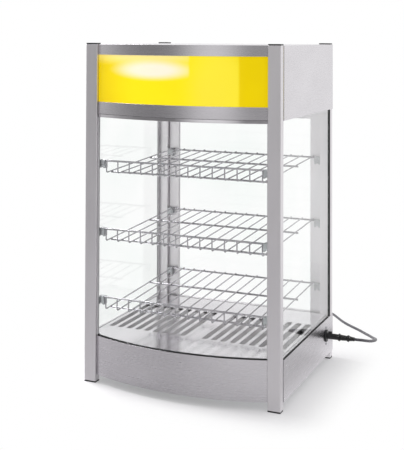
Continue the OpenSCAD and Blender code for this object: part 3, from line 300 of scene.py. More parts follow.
# From the deep gold at its right end: the lemon bulk and its paler right part, the tube's glow; then the pale
# top strip and the pale spot, a painted highlight.
glow_and_highlight_colour = linear("#a69600")
for centre, reach, near, far, edge, colour in (
    ((0.0, -0.235, 0.708), (0.21, 0.5, 0.16), 0.45, 1.02, 0.15, "#c3be1c"),
    ((0.11, -0.235, 0.7), (0.07, 0.5, 0.1), 0.5, 1.3, 0.15, "#c0bb34"),
    # The last two patches are a painted highlight in the emission, not the tube's glow.
    ((-0.08, -0.235, 0.772), (0.15, 0.5, 0.024), 0.3, 1.3, 0.038, "#c6c494"),
    ((-0.056, -0.235, 0.739), (0.098, 0.5, 0.021), 0.4, 1.3, 0.038, "#d0cee1"),
):
    patch = glow_and_highlight_patch(tree, at, centre, reach, near, far, edge)
    glow_and_highlight_colour = put(tree, "ShaderNodeMix", {0: patch, 6: glow_and_highlight_colour, 7: linear(colour)}, data_type="RGBA").outputs[2]
tree.links.new(glow_and_highlight_colour, shade.inputs["Emission Color"])
shade.inputs["Emission Strength"].default_value = 1.0

# White screen print on the mouldings: thin, slightly chalky.
white_print, *_ = finish("white_screen_print", "#e4e4e2", "#efefed", (0.8, 0.8, 0.8), (10, 10, 10),
                         (0.5, 0.6), height=0.005)
# Cured silicone in the joints of the front pane and the left side pane: milky and soft.
clear_silicone, *_ = finish("milky_silicone_seal", "#cfcdd0", "#dbd9dc", (2, 2, 2), (30, 30, 60),
                            (0.4, 0.55), height=0.02)

# The record's slots, the finish of each and the parts that have it.
finishes = {
    "satin_aluminium": (satin_aluminium, ["front_post_left", "front_post_right", "rear_post_left",
                                          "rear_post_right", "door_stiles", "door_rails"]),
    "brushed_steel": (brushed_steel, ["base_fascia", "base_side_left", "base_side_right", "base_rear_panel",
                                      "header_upper_bar", "header_lower_bar", "header_side_left",
                                      "header_side_right", "header_top", "header_rear_panel",
                                      "header_floor"]),
    "plain_steel": (plain_steel, ["base_floor", "element_brackets"]),
    "polished_steel": (tray_steel, ["air_tray"]),
    "wire_chrome": (wire_chrome, ["top_shelf_rack", "top_shelf_front", "middle_shelf_rack",
                                  "middle_shelf_front", "bottom_shelf_rack", "bottom_shelf_front"]),
    "zinc_hardware": (zinc_hardware, ["panel_screws", "door_hinges", "door_hinge_leaves", "hinge_pins",
                                      "door_handle", "shelf_clips"]),
    "heater_steel": (heater_steel, ["heating_element"]),
    "black_plastic": (black_abs, ["post_caps", "feet", "air_probe", "thermostat_knob", "switch_housings",
                                  "power_inlet", "appliance_connector", "mains_plug", "door_catch"]),
    "black_rubber": (black_rubber, ["front_gasket", "glass_seals", "cord_tie"]),
    "clear_glass": (clear_glass, ["front_glass", "side_glass_left", "side_glass_right", "door_glass"]),
    "sign_acrylic": (sign_acrylic, ["sign_panel"]),
    "opal_plastic": (opal_plastic, ["light_window", "lamp_tube"]),
    "pale_plastic": (pale_plastic, ["thermostat", "terminal_block", "lamp_holders"]),
    "red_plastic": (red_plastic, ["heat_rocker"]),
    "green_plastic": (green_plastic, ["light_rocker"]),
}
for material, names in finishes.values():
    for name in names:
        for held in node[name].material_slots:
            held.material = material
sheath.materials.append(cord_pvc)


# ---------------------------------------------------------------- parts with joined faces and broken edges

def stand_in(piece, *names):
    """The piece takes the place of CAD parts: it moves with them, and they are hidden."""
    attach(piece, node[names[0]].parent.name.split(":")[1])
    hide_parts(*names)
    return piece


def dressed(name, radius, cuts=()):
    """A copy of a CAD part with its loose faces joined and its edges rounded by a radius in mm.
    Its faces are parted along cuts: (place in mm, direction)."""
    mesh = node[name].data.copy()
    shape = bmesh.new()
    shape.from_mesh(mesh)
    bmesh.ops.remove_doubles(shape, verts=shape.verts, dist=0.002 * MM)
    bmesh.ops.dissolve_limit(shape, angle_limit=math.radians(0.5), verts=shape.verts, edges=shape.edges)
    for at, way in cuts:
        bmesh.ops.bisect_plane(shape, geom=shape.verts[:] + shape.edges[:] + shape.faces[:],
                               plane_co=Vector(at) * MM, plane_no=way)
    for face in shape.faces:
        face.smooth = True
    shape.to_mesh(mesh)
    shape.free()
    piece = place(name + "_dressed", mesh)
    edges = piece.modifiers.new("edges", "BEVEL")
    edges.width = radius * MM
    edges.segments = 2
    edges.limit_method = "ANGLE"
    edges.angle_limit = math.radians(35)
    edges.use_clamp_overlap = False
    piece.modifiers.new("normals", "WEIGHTED_NORMAL").keep_sharp = True
    return stand_in(baked(piece), name)


# The radius of each part's broken edges, in mm.
edge_radius = {
    0.9: ["front_post_left", "front_post_right", "rear_post_left", "rear_post_right", "door_stiles",
          "door_rails"],
    0.4: ["base_fascia", "base_side_left", "base_side_right", "base_rear_panel", "header_upper_bar",
          "header_side_left", "header_side_right", "header_top", "header_rear_panel",
          "header_floor", "base_floor", "element_brackets", "air_tray", "door_hinges", "door_hinge_leaves",
          "hinge_pins", "sign_panel", "light_window"],
    0.7: ["door_handle", "shelf_clips", "feet", "thermostat", "terminal_block", "lamp_holders", "power_inlet",
          "switch_housings", "door_catch", "mains_plug", "air_probe"],
    1.0: ["post_caps", "heat_rocker", "light_rocker"],
}
parts = {name: dressed(name, radius) for radius, names in edge_radius.items() for name in names}


# ---------------------------------------------------------------- Geometry Nodes: trees with named inputs

def new_tree(name, sizes):
    """An empty tree with one named input for each size; returns it with its inputs' sockets."""
    tree = bpy.data.node_groups.new(name, "GeometryNodeTree")
    tree.interface.new_socket("Geometry", in_out="OUTPUT", socket_type="NodeSocketGeometry")
    tree.interface.new_socket("Geometry", in_out="INPUT", socket_type="NodeSocketGeometry")
    for size, kind in sizes.items():
        tree.interface.new_socket(size, in_out="INPUT", socket_type="NodeSocket" + kind)
    return tree, put(tree, "NodeGroupInput").outputs


def end_tree(tree, made, material):
    """Ends a tree: its instances made real, smooth, and in their finish."""
    real = put(tree, "GeometryNodeRealizeInstances", {0: made})
    even = put(tree, "GeometryNodeSetShadeSmooth", {0: real.outputs[0], "Shade Smooth": True})
    coloured = put(tree, "GeometryNodeSetMaterial", {"Geometry": even.outputs[0], "Material": material})
    put(tree, "NodeGroupOutput", {0: coloured.outputs[0]})


def grown(name, tree, mesh, sizes):
    """A mesh run through a tree with these sizes, then baked."""
    piece = place(name, mesh)
    growth = piece.modifiers.new("growth", "NODES")
    growth.node_group = tree
    sockets = {s.name: s.identifier for s in tree.interface.items_tree if s.in_out == "INPUT"}
    for size, value in sizes.items():
        growth[sockets[size]] = value
    return baked(piece)


# ---------------------------------------------------------------- wire shelves: welded from drawn wire

# Sizes in mm, as in the part's source. A wire drops DROP from the front rail, then rises RISE to the rear.
WIRES, WIRE_D, RAIL_D, BEND_R, WELD = 14, 3.0, 4.5, 5.0, 0.6
DROP, RISE, WIRE_MARGIN, CROSS_BACK, CROSS_AT = 27.5, 17.5, 17.0, 24.0, 0.625
BEND_STEPS = 12
# How far the cross rails pass the outer wires, and how far a weld bead's middle is from its rail's, as a
# share of the rail's radius.
FRONT_OVER, MIDDLE_OVER, SEAM = 0.5, 2.5, 0.92

rack, size = new_tree("welded_wire_shelf", {
    "Wires": "Int", "Wire pitch": "Float", "Wire diameter": "Float", "Rail diameter": "Float",
    "First wire": "Vector", "Front rail": "Vector", "Front cross rail": "Vector",
    "Middle cross rail": "Vector", "Rear rail": "Vector"})
wire_half = put(rack, "ShaderNodeMath", {0: size["Wire diameter"], 1: 0.5}, operation="MULTIPLY").outputs[0]
rail_half = put(rack, "ShaderNodeMath", {0: size["Rail diameter"], 1: 0.5}, operation="MULTIPLY").outputs[0]
bead_r = put(rack, "ShaderNodeMath", {0: size["Wire diameter"], 1: 0.62}, operation="MULTIPLY").outputs[0]
across = put(rack, "ShaderNodeCombineXYZ", {0: size["Wire pitch"]}).outputs[0]
wire_round = put(rack, "GeometryNodeCurvePrimitiveCircle", {"Resolution": 14, "Radius": wire_half}).outputs[0]
rail_round = put(rack, "GeometryNodeCurvePrimitiveCircle", {"Resolution": 18, "Radius": rail_half}).outputs[0]
path = put(rack, "GeometryNodeMeshToCurve", {0: size["Geometry"]}).outputs[0]
wire = put(rack, "GeometryNodeCurveToMesh", {"Curve": path, "Profile Curve": wire_round,
                                             "Fill Caps": True}).outputs[0]
row = put(rack, "GeometryNodeMeshLine", {"Count": size["Wires"], "Start Location": size["First wire"],
                                         "Offset": across}).outputs[0]
made = [put(rack, "GeometryNodeInstanceOnPoints", {"Points": row, "Instance": wire}).outputs[0]]
bead = put(rack, "GeometryNodeMeshIcoSphere", {"Radius": bead_r, "Subdivisions": 2}).outputs[0]
for rail in ("Front rail", "Front cross rail", "Middle cross rail", "Rear rail"):
    # a rail's input is the place of its left end; its right end mirrors that
    end = put(rack, "ShaderNodeVectorMath", {0: size[rail], 1: (-1, 1, 1)}, operation="MULTIPLY").outputs[0]
    line_up = put(rack, "GeometryNodeCurvePrimitiveLine", {"Start": size[rail], "End": end}).outputs[0]
    made.append(put(rack, "GeometryNodeCurveToMesh", {"Curve": line_up, "Profile Curve": rail_round,
                                                      "Fill Caps": True}).outputs[0])
    spot = put(rack, "ShaderNodeSeparateXYZ", {0: size[rail]}).outputs
    lift = -SEAM if rail == "Front rail" else SEAM
    seam_z = put(rack, "ShaderNodeMath", {0: rail_half, 1: lift, 2: spot[2]},
                 operation="MULTIPLY_ADD").outputs[0]
    first_x = put(rack, "ShaderNodeSeparateXYZ", {0: size["First wire"]}).outputs[0]
    first = put(rack, "ShaderNodeCombineXYZ", {0: first_x, 1: spot[1], 2: seam_z}).outputs[0]
    welds = put(rack, "GeometryNodeMeshLine", {"Count": size["Wires"], "Start Location": first,
                                               "Offset": across}).outputs[0]
    made.append(put(rack, "GeometryNodeInstanceOnPoints", {"Points": welds, "Instance": bead,
                                                           "Scale": (1.05, 0.95, 0.6)}).outputs[0])
welded = put(rack, "GeometryNodeJoinGeometry")
for one in made:
    rack.links.new(one, welded.inputs[0])
end_tree(rack, welded.outputs[0], wire_chrome)

# Each shelf takes its sizes from its own solids.
for shelf in ("bottom_shelf", "middle_shelf", "top_shelf"):
    low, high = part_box(shelf + "_front")
    rail_end = -low[0] / MM
    front_y, rail_z = low[1] / MM + RAIL_D / 2, high[2] / MM - RAIL_D / 2
    rear_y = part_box(shelf + "_rack")[1][1] / MM - RAIL_D / 2
    reach = rail_end - WIRE_MARGIN
    slope = math.atan(RISE / (rear_y - front_y))
    run_y = front_y + BEND_R * (1 + math.sin(slope))
    run_z = rail_z - DROP + BEND_R * (1 - math.cos(slope))

    def wire_z(y):
        return run_z + (y - run_y) * math.tan(slope)

    end_y = rear_y + WIRE_D / 2
    centre = [(0, front_y, rail_z), (0, front_y, rail_z - (DROP - BEND_R) / 2)]
    for k in range(BEND_STEPS + 1):
        a = (math.pi / 2 + slope) * k / BEND_STEPS
        centre.append((0, front_y + BEND_R * (1 - math.cos(a)), rail_z - DROP + BEND_R * (1 - math.sin(a))))
    for k in (1, 2, 3, 4):
        y = run_y + (end_y - run_y) * k / 4
        centre.append((0, y, wire_z(y)))
    wire_path = bpy.data.meshes.new("wire_path")
    wire_path.from_pydata([Vector(c) * MM for c in centre], [(k, k + 1) for k in range(len(centre) - 1)], [])
    under = (WIRE_D + RAIL_D) / 2 - WELD
    ends = {"Front rail": (rail_end, front_y, rail_z)}
    for rail, y, half in (
        ("Front cross rail", front_y + BEND_R + CROSS_BACK, reach + WIRE_D / 2 + FRONT_OVER),
        ("Middle cross rail", front_y + (rear_y - front_y) * CROSS_AT, reach + WIRE_D / 2 + MIDDLE_OVER),
        ("Rear rail", rear_y, rail_end),
    ):
        ends[rail] = (half, y, wire_z(y) - under)
    piece = grown(shelf + "_wires", rack, wire_path, {
        "Wires": WIRES, "Wire pitch": 2 * reach / (WIRES - 1) * MM, "Wire diameter": WIRE_D * MM,
        "Rail diameter": RAIL_D * MM, "First wire": (-reach * MM, 0.0, 0.0),
        **{rail: (-x * MM, y * MM, z * MM) for rail, (x, y, z) in ends.items()}})
    stand_in(piece, shelf + "_rack", shelf + "_front")


# The louvres' blades and skirts hang below the tray's sheet; they take its darker copy, painted shade.
BLADE_TOP = 109.7
tray = parts["air_tray"]
tray.data.materials.append(tray_steel_painted_shade)
for face in tray.data.polygons:
    if face.center.z < BLADE_TOP * MM:
        face.material_index = len(tray.data.materials) - 1

# The lower bar is a sheet over a polished lip: a joint line between them, and one beside each post. Each
# joint is a black strip standing for the shade in its gap: painted shade.
low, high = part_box("header_lower_bar")
LIP_Z, JOINT, BAR_END = low[2] / MM + 7.3, 0.9, high[0] / MM - 1
bar = dressed("header_lower_bar", 0.4, cuts=[((0, 0, LIP_Z), (0, 0, 1)), ((0, 0, LIP_Z + JOINT), (0, 0, 1)),
                                             ((BAR_END, 0, 0), (1, 0, 0)), ((-BAR_END, 0, 0), (1, 0, 0))])
for face in bar.data.polygons:
    x, y, z = face.center / MM
    face.material_index = 2 if abs(x) > BAR_END or 0 < z - LIP_Z < JOINT else 1 if z < LIP_Z else 0
bar.data.materials.append(tray_steel)
bar.data.materials.append(black_rubber)


# ---------------------------------------------------------------- seals: silicone and rubber

# Silicone: the front pane's joints between the posts, and the left side pane's. The right one's stays rubber.
FRONT_Y, POST_X = -180, 213.5
seals = dressed("glass_seals", 0.3)
seals.data.materials.append(clear_silicone)
for face in seals.data.polygons:
    x, y, _ = face.center / MM
    if (y < FRONT_Y and abs(x) < POST_X) or x < 0:
        face.material_index = len(seals.data.materials) - 1


# ---------------------------------------------------------------- cross-recess screws

def middle(name):
    """The middle of a CAD part's box, in mm."""
    low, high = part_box(name)
    return [(a + b) / 2 / MM for a, b in zip(low, high)]


def turned(name, outline, start, along, sides=48, flutes=0, depth=0.0):
    """A turned part: outline gives (distance along its axis, radius) in mm from start.
    The flutes cut depth mm into every ring but those at its middle."""
    along = Vector(along).normalized()
    side = along.orthogonal().normalized()
    other = along.cross(side)
    shape = bmesh.new()
    rings = []
    for distance, radius in outline:
        ring = []
        for k in range(sides):
            a = 2 * math.pi * k / sides
            r = radius
            if flutes and radius > 2:
                r -= depth * (0.5 + 0.5 * math.cos(flutes * a))
            away = side * math.cos(a) + other * math.sin(a)
            ring.append(shape.verts.new((Vector(start) + along * distance + away * r) * MM))
        rings.append(ring)
    for one, two in zip(rings, rings[1:]):
        for k in range(sides):
            shape.faces.new((one[k], one[(k + 1) % sides], two[(k + 1) % sides], two[k]))
    shape.faces.new(rings[0])
    shape.faces.new(rings[-1])
    bmesh.ops.recalc_face_normals(shape, faces=shape.faces)
    for face in shape.faces:
        face.smooth = True
    mesh = bpy.data.meshes.new(name)
    shape.to_mesh(mesh)
    shape.free()
    mesh.set_sharp_from_angle(angle=math.radians(38))
    return place(name, mesh)


def block(name, low, high, radius):
    """A block between two corners in mm, its edges rounded."""
    mesh = bpy.data.meshes.new(name)
    shape = bmesh.new()
    bmesh.ops.create_cube(shape, size=1.0)
    centre, whole = (Vector(low) + Vector(high)) / 2, Vector(high) - Vector(low)
    for vert in shape.verts:
        vert.co = Vector(m + c * w for m, c, w in zip(centre, vert.co, whole)) * MM
    for face in shape.faces:
        face.smooth = True
    shape.to_mesh(mesh)
    shape.free()
    piece = place(name, mesh)
    edges = piece.modifiers.new("edges", "BEVEL")
    edges.width = radius * MM
    edges.segments = 3
    piece.modifiers.new("normals", "WEIGHTED_NORMAL")
    return baked(piece)


def joined(name, *pieces):
    """Several meshes as one."""
    shape = bmesh.new()
    materials = []
    for piece in pieces:
        known = len(shape.faces)
        shape.from_mesh(piece.data)
        shape.faces.ensure_lookup_table()
        mine = list(piece.data.materials)
        for m in mine:
            if m not in materials:
                materials.append(m)
        for face in shape.faces[known:]:
            face.material_index = materials.index(mine[face.material_index]) if mine else 0
        bpy.data.objects.remove(piece)
    mesh = bpy.data.meshes.new(name)
    shape.to_mesh(mesh)
    shape.free()
    for m in materials:
        mesh.materials.append(m)
    mesh.set_sharp_from_angle(angle=math.radians(38))
    return place(name, mesh)


# One pan head 7 mm across and 2 mm high on its shank, pointing up Z.
outline = [(-6, 1.6), (0, 1.6), (0, 3.5), (0.5, 3.5), (1.1, 3.2), (1.6, 2.5), (1.9, 1.4), (2, 0.3)]
pan_head = turned("pan_head", outline, (0, 0, 0), (0, 0, 1), sides=24)
# Its cross recess: two slots, each cut by a block.
RECESS_L, RECESS_W, RECESS_Z = 2.1, 0.42, 1.0
for wide, thin in ((RECESS_L, RECESS_W), (RECESS_W, RECESS_L)):
    cutter = block("recess", (-wide, -thin, RECESS_Z), (wide, thin, 3.0), 0.05)
    cut = pan_head.modifiers.new("recess", "BOOLEAN")
    cut.operation = "DIFFERENCE"
    cut.solver = "EXACT"
    cut.object = cutter
    pan_head = baked(pan_head)
    bpy.data.objects.remove(cutter)

screwed, size = new_tree("driven_screws", {"Head": "Object"})
head = put(screwed, "GeometryNodeObjectInfo", {"Object": size["Head"]},
           transform_space="ORIGINAL").outputs["Geometry"]
facing, scale = [put(screwed, "GeometryNodeInputNamedAttribute", {"Name": word},
                     data_type="FLOAT_VECTOR").outputs[0] for word in ("facing", "size")]
turn = put(screwed, "FunctionNodeAlignRotationToVector", {"Vector": facing}, axis="Z").outputs[0]
heads = put(screwed, "GeometryNodeInstanceOnPoints", {
    "Points": size["Geometry"], "Instance": head, "Rotation": turn, "Scale": scale}).outputs[0]
end_tree(screwed, heads, zinc_hardware)


def screws(name, spots):
    """Screws at spots: (place in mm, the way the head faces, its scale)."""
    mesh = bpy.data.meshes.new(name)
    mesh.from_pydata([Vector(at) * MM for at, *_ in spots], [], [])
    for attribute, which in (("facing", 1), ("size", 2)):
        layer = mesh.attributes.new(attribute, "FLOAT_VECTOR", "POINT")
        for k, spot in enumerate(spots):
            layer.data[k].vector = spot[which]
    return grown(name, screwed, mesh, {"Head": pan_head})


# Places in mm: the rear panels' outer face, the right panel's, the inlet's middle on it, the hinges' middles.
REAR_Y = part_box("base_rear_panel")[1][1] / MM
PANEL_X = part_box("base_side_right")[1][0] / MM
_, INLET_Y, INLET_Z = middle("power_inlet")
HINGE_ZS = (156.0, 558.25)
SCREW_X, SCREW_ZS = 199, (30.5, 70, 647.5, 779)
# How far from the inlet's and a hinge's middle their screws are, and those heads' scale beside the panels'.
INLET_HALF, HINGE_HALF = 20, 15
INLET_HEAD, HINGE_HEAD = (0.857, 0.857, 0.7), (0.72, 0.72, 0.55)
spots = [((x, REAR_Y, z), (0, 1, 0), (1, 1, 1)) for x in (-SCREW_X, SCREW_X) for z in SCREW_ZS]
for z in (INLET_Z - INLET_HALF, INLET_Z + INLET_HALF):
    spots.append(((PANEL_X, INLET_Y, z), (1, 0, 0), INLET_HEAD))
stand_in(screws("panel_screws_dressed", spots), "panel_screws")
for name, body, x, y in (("hinge_screws_fixed", "cabinet", -227, 214.9),
                         ("hinge_screws_moving", "door", -197, 219.0)):
    spots = [((x, y, z + s * HINGE_HALF), (0, 1, 0), HINGE_HEAD) for z in HINGE_ZS for s in (-1, 1)]
    leaf_screws = screws(name, spots)
    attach(leaf_screws, body)
bpy.data.objects.remove(pan_head)


# ---------------------------------------------------------------- controls at the back

# The knob's axis, and the face that it turns on.
KNOB_X, _, KNOB_Z = middle("thermostat_knob")
KNOB_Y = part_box("thermostat_knob")[0][1] / MM
outline = [(0, 12), (0, 18.4), (0.6, 19), (3.6, 19), (5, 17.6), (5, 14), (6, 13.5), (15.2, 12.6),
           (16.3, 11.6), (16.7, 9.5), (16.7, 0.3)]
knob = turned("thermostat_knob_dressed", outline, (KNOB_X, KNOB_Y, KNOB_Z), (0, 1, 0), sides=144, flutes=18,
              depth=0.7)
knob.data.materials.append(black_abs)
mark = block("knob_mark", (-0.7, KNOB_Y + 16.5, 4), (0.7, KNOB_Y + 16.9, 12), 0.1)
mark.data.materials.append(white_print)
# The dial runs from START over SWEEP, with its ticks and its numbers on two rings, printed on the rear panel.
START, SWEEP = math.radians(-135), math.radians(270)
TICKS, TICK_R, NUMBER_R, PRINT_Y = 28, 22, 28, REAR_Y + 0.05
mark.data.transform(Matrix.Translation(Vector((KNOB_X, 0, KNOB_Z)) * MM) @ Matrix.Rotation(-START, 4, "Y"))
stand_in(joined("thermostat_knob_dressed", knob, mark), "thermostat_knob")

ticks, size = new_tree("dial_ticks", {"Ticks": "Int", "First turn": "Float", "Step": "Float",
                                      "Radius": "Float", "Tick": "Vector"})
index = put(ticks, "GeometryNodeInputIndex").outputs[0]
angle = put(ticks, "ShaderNodeMath", {0: index, 1: size["Step"], 2: size["First turn"]},
            operation="MULTIPLY_ADD").outputs[0]
turn = put(ticks, "ShaderNodeCombineXYZ", {1: angle}).outputs[0]
bar = put(ticks, "GeometryNodeMeshCube", {"Size": size["Tick"]}).outputs[0]
out = put(ticks, "ShaderNodeCombineXYZ", {2: size["Radius"]}).outputs[0]
bar = put(ticks, "GeometryNodeTransform", {"Geometry": bar, "Translation": out}).outputs[0]
spots = put(ticks, "GeometryNodeMeshLine", {"Count": size["Ticks"], "Offset": (0, 0, 0)}).outputs[0]
ring = put(ticks, "GeometryNodeInstanceOnPoints", {"Points": spots, "Instance": bar,
                                                   "Rotation": turn}).outputs[0]
end_tree(ticks, ring, black_abs)
dial = grown("dial_ticks", ticks, bpy.data.meshes.new("dial_ticks"), {
    "Ticks": TICKS, "First turn": -START, "Step": -SWEEP / (TICKS - 1), "Radius": TICK_R * MM,
    "Tick": (0.5 * MM, 0.12 * MM, 2.4 * MM)})
dial.data.transform(Matrix.Translation(Vector((KNOB_X, PRINT_Y, KNOB_Z)) * MM))


def printed(text, height, spot, material):
    """Words or numbers printed on the back, read from behind: spot is their middle in mm."""
    letters = bpy.data.curves.new("letters", "FONT")
    letters.body = text
    letters.size = height * MM
    letters.extrude = 0.06 * MM
    letters.align_x = letters.align_y = "CENTER"
    piece = baked(place("letters", letters))
    way = Matrix(((-1, 0, 0), (0, 0, 1), (0, 1, 0))).to_4x4()
    piece.data.transform(Matrix.Translation(Vector(spot) * MM) @ way)
    piece.data.materials.clear()
    piece.data.materials.append(material)
    return piece


numbers = []
for k, text in enumerate(("0", "30", "45", "60", "75", "90")):
    a = START + SWEEP * k / 5
    spot = (KNOB_X - NUMBER_R * math.sin(a), PRINT_Y, KNOB_Z + NUMBER_R * math.cos(a))
    numbers.append(printed(text, 5.5, spot, black_abs))
dial = joined("thermostat_dial_print", dial, *numbers)
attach(dial, "cabinet")
# On the switches' bezels, I is above each rocker and O below it.
BEZEL_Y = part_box("switch_housings")[1][1] / MM
ON_Z, OFF_Z = 65.3, 37.4
marks = []
for rocker in ("heat_rocker", "light_rocker"):
    x = middle(rocker)[0]
    marks.append(printed("I", 3.6, (x, BEZEL_Y, ON_Z), white_print))
    marks.append(printed("O", 3.6, (x, BEZEL_Y, OFF_Z), white_print))
signs = joined("switch_marks_print", *marks)
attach(signs, "cabinet")


# ---------------------------------------------------------------- connector at the inlet, and the plug

# Along its axis: core, flange, body, collar, five ribs, second collar, three ribs of the relief.
outline = [(-13, 6), (0.3, 6), (0.3, 14.2), (1, 15), (2.5, 15), (3.3, 14.2), (3.4, 8.2), (4.4, 7.2),
           (32, 7.0), (32.4, 8.6), (32.9, 9), (35.3, 9), (35.8, 8.6), (36, 7.2)]
for k in range(5):
    x, r = 37 + 3.6 * k, 7.1 - 0.22 * k
    outline += [(x, r - 0.7), (x + 0.3, r), (x + 2.3, r), (x + 2.6, r - 0.7)]
outline += [(54.6, 6.2), (54.8, 7.6), (55.2, 8), (58.2, 8), (58.6, 7.6), (58.8, 5.9)]
for k in range(3):
    x, r = 60 + 4.2 * k, 5.9 - 0.5 * k
    outline += [(x, r - 0.7), (x + 0.3, r), (x + 2.8, r - 0.15), (x + 3.1, r - 0.8)]
outline += [(72.4, 4.4), (72.8, 3.6)]
boot = turned("connector_boot", outline, (PANEL_X, INLET_Y, INLET_Z), (1, 0, 0), sides=56)
latch = block("connector_latch", (PANEL_X + 6.3, INLET_Y - 3, INLET_Z + 5),
              (PANEL_X + 15.3, INLET_Y + 3, INLET_Z + 11.7), 1.0)
nose = block("connector_nose", (PANEL_X - 13.2, INLET_Y - 9.8, INLET_Z - 13.5),
             (PANEL_X + 0.6, INLET_Y + 9.8, INLET_Z + 13.5), 1.5)
connector = joined("appliance_connector_dressed", boot, latch, nose)
connector.data.materials.append(black_abs)
stand_in(connector, "appliance_connector")

# The plug's pins are plated metal beyond this x.
PIN_X = -81.5
plug = parts["mains_plug"]
plug.data.materials.append(zinc_hardware)
for face in plug.data.polygons:
    if face.center.x < PIN_X * MM:
        face.material_index = len(plug.data.materials) - 1


# ---------------------------------------------------------------- floor, studio light and white surround

floor_mesh = bpy.data.meshes.new("studio_floor")
shape = bmesh.new()
bmesh.ops.create_circle(shape, cap_ends=True, segments=96, radius=4.5)
shape.to_mesh(floor_mesh)
floor = place("studio_floor", floor_mesh)
# Matt white paper: it turns to the plain white of the backdrop a hand's breadth away from the cabinet, and
# behind it in reflections. In reflections it is also painted darker, painted shade, and painted lighter at
# the right and beside the base, painted light for the metal that mirrors it.
FOOTPRINT = (0.235, 0.215, 0)
paper = bpy.data.materials.new("matt_white_backdrop_paper")
paper.use_nodes = True
tree = paper.node_tree
tree.nodes.clear()
at = put(tree, "ShaderNodeTexCoord").outputs["Object"]
spot = put(tree, "ShaderNodeSeparateXYZ", {0: at}).outputs
rays = put(tree, "ShaderNodeLightPath").outputs
behind = put(tree, "ShaderNodeMapRange", {"Value": spot[1], "From Min": 0.3, "From Max": 1.2},
             interpolation_type="SMOOTHSTEP").outputs[0]
# Painted light, seen only in reflections: the paper brighter towards the right and beside the base.
painted_lift = put(tree, "ShaderNodeMapRange", {"Value": spot[0], "From Min": -0.08, "From Max": 0.32,
                                        "To Max": 0.3}).outputs[0]
mirrored = put(tree, "ShaderNodeMath", {0: rays["Is Glossy Ray"], 1: behind}, operation="MULTIPLY").outputs[0]
beside = put(tree, "ShaderNodeMapRange", {"Value": spot[0], "From Min": 0.25, "From Max": 0.31,
                                          "To Min": 0.36, "To Max": 0.0}).outputs[0]
alongside = put(tree, "ShaderNodeMapRange", {"Value": spot[1], "From Min": -0.24,
                                             "From Max": -0.16}).outputs[0]
painted_lift = put(tree, "ShaderNodeMath", {0: beside, 1: alongside, 2: painted_lift}, operation="MULTIPLY_ADD").outputs[0]
painted_lift_in_reflections = put(tree, "ShaderNodeMath", {0: rays["Is Glossy Ray"], 1: painted_lift}, operation="MULTIPLY").outputs[0]
direct = put(tree, "ShaderNodeMath", {0: rays["Is Camera Ray"], 1: rays["Is Transmission Ray"]},
             operation="MAXIMUM").outputs[0]
seen = put(tree, "ShaderNodeMath", {0: direct, 1: mirrored}, operation="MAXIMUM").outputs[0]
# The distance from the cabinet's footprint, 0 under it.
beyond = put(tree, "ShaderNodeVectorMath", {0: at}, operation="ABSOLUTE").outputs[0]
beyond = put(tree, "ShaderNodeVectorMath", {0: beyond, 1: FOOTPRINT}, operation="SUBTRACT").outputs[0]
beyond = put(tree, "ShaderNodeVectorMath", {0: beyond, 1: (0, 0, 0)}, operation="MAXIMUM").outputs[0]
away = put(tree, "ShaderNodeVectorMath", {0: beyond}, operation="LENGTH").outputs["Value"]
fade = put(tree, "ShaderNodeMapRange", {"Value": away, "From Min": 0.01, "From Max": 0.14},
           interpolation_type="SMOOTHSTEP").outputs[0]
fade = put(tree, "ShaderNodeMath", {0: fade, 1: seen}, operation="MULTIPLY").outputs[0]
# Painted shade: in reflections the paper is a darker grey than it is under the lamp.
sheet = put(tree, "ShaderNodeMix", {0: rays["Is Glossy Ray"], 6: linear("#dedddf"), 7: linear("#b9b8ba")},
            data_type="RGBA").outputs[2]
matt = put(tree, "ShaderNodeBsdfDiffuse", {"Color": sheet}).outputs[0]
lift = put(tree, "ShaderNodeMath", {0: seen, 1: 0.28, 2: painted_lift_in_reflections}, operation="MULTIPLY_ADD").outputs[0]
glow = put(tree, "ShaderNodeEmission", {"Color": (1, 1, 1, 1), "Strength": lift}).outputs[0]
near = put(tree, "ShaderNodeAddShader", {0: matt, 1: glow}).outputs[0]
white = put(tree, "ShaderNodeEmission", {"Color": (1, 1, 1, 1), "Strength": 1.0}).outputs[0]
both = put(tree, "ShaderNodeMixShader", {0: fade, 1: near, 2: white}).outputs[0]
put(tree, "ShaderNodeOutputMaterial", {"Surface": both})
floor_mesh.materials.append(paper)

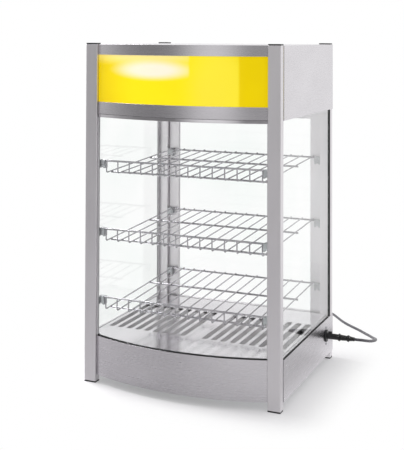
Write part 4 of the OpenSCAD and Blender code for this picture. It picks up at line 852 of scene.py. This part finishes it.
# The room: white paper behind and beside the cabinet, a bright window and darker corners in front of it.
world = bpy.data.worlds.new("studio_surround")
scene.world = world
world.use_nodes = True
tree = world.node_tree
tree.nodes.clear()
rays = put(tree, "ShaderNodeLightPath").outputs
seen = put(tree, "ShaderNodeMath", {0: rays["Is Camera Ray"], 1: rays["Is Transmission Ray"]},
           operation="MAXIMUM").outputs[0]
way = put(tree, "ShaderNodeTexCoord").outputs["Generated"]
part = put(tree, "ShaderNodeSeparateXYZ", {0: way}).outputs
front = put(tree, "ShaderNodeMath", {0: part[1], 1: -1.0}, operation="MULTIPLY").outputs[0]
turn = put(tree, "ShaderNodeMath", {0: part[0], 1: front}, operation="ARCTAN2").outputs[0]
round_the_room = put(tree, "ShaderNodeMapRange", {"Value": turn, "From Min": -math.pi,
                                                  "From Max": math.pi}).outputs[0]
walls = put(tree, "ShaderNodeValToRGB", {0: round_the_room})
# How bright the walls are round the room, in degrees from straight ahead of the cabinet to its right.
stops = [(-180, 1.0), (-105, 1.0), (-66, 0.62), (-54, 0.36), (-42, 0.24), (-23, 0.22), (-14, 0.8), (-8, 0.98),
         (1, 0.98), (7, 0.72), (12, 0.24), (32, 0.4), (70, 0.9), (105, 1.0), (180, 1.0)]
for i, (degrees, tone) in enumerate(stops):
    stop = walls.color_ramp.elements[i] if i < 2 else walls.color_ramp.elements.new(0.99)
    stop.position = degrees / 360 + 0.5
    stop.color = (tone, tone, tone, 1)
ceiling = put(tree, "ShaderNodeMapRange", {"Value": part[2], "From Min": 0.35, "From Max": 0.85},
              interpolation_type="SMOOTHSTEP").outputs[0]
tone = put(tree, "ShaderNodeMix", {0: ceiling, 6: walls.outputs[0], 7: (0.92, 0.92, 0.92, 1)},
           data_type="RGBA").outputs[2]
# Matt surfaces get a little less light from it than mirrors show.
level = put(tree, "ShaderNodeMath", {0: rays["Is Diffuse Ray"], 1: -0.25, 2: 1.0},
            operation="MULTIPLY_ADD").outputs[0]
room = put(tree, "ShaderNodeBackground", {"Color": tone, "Strength": level}).outputs[0]
blank = put(tree, "ShaderNodeBackground", {"Color": (1, 1, 1, 1), "Strength": 1.0}).outputs[0]
both = put(tree, "ShaderNodeMixShader", {0: seen, 1: room, 2: blank}).outputs[0]
put(tree, "ShaderNodeOutputWorld", {"Surface": both})

# One softbox, high at the left and aimed at the base.
SOFTBOX_AT, SOFTBOX_AIM = Vector((-1.2, 0.1, 1.65)), Vector((0, 0, 0.15))
lamp = bpy.data.lights.new("window_softbox", "AREA")
lamp.size = 0.9
lamp.energy = 30
softbox = place("window_softbox", lamp)
facing = (SOFTBOX_AIM - SOFTBOX_AT).to_track_quat("-Z", "Y").to_matrix().to_4x4()
softbox.matrix_world = Matrix.Translation(SOFTBOX_AT) @ facing

scene.view_settings.view_transform = "Standard"
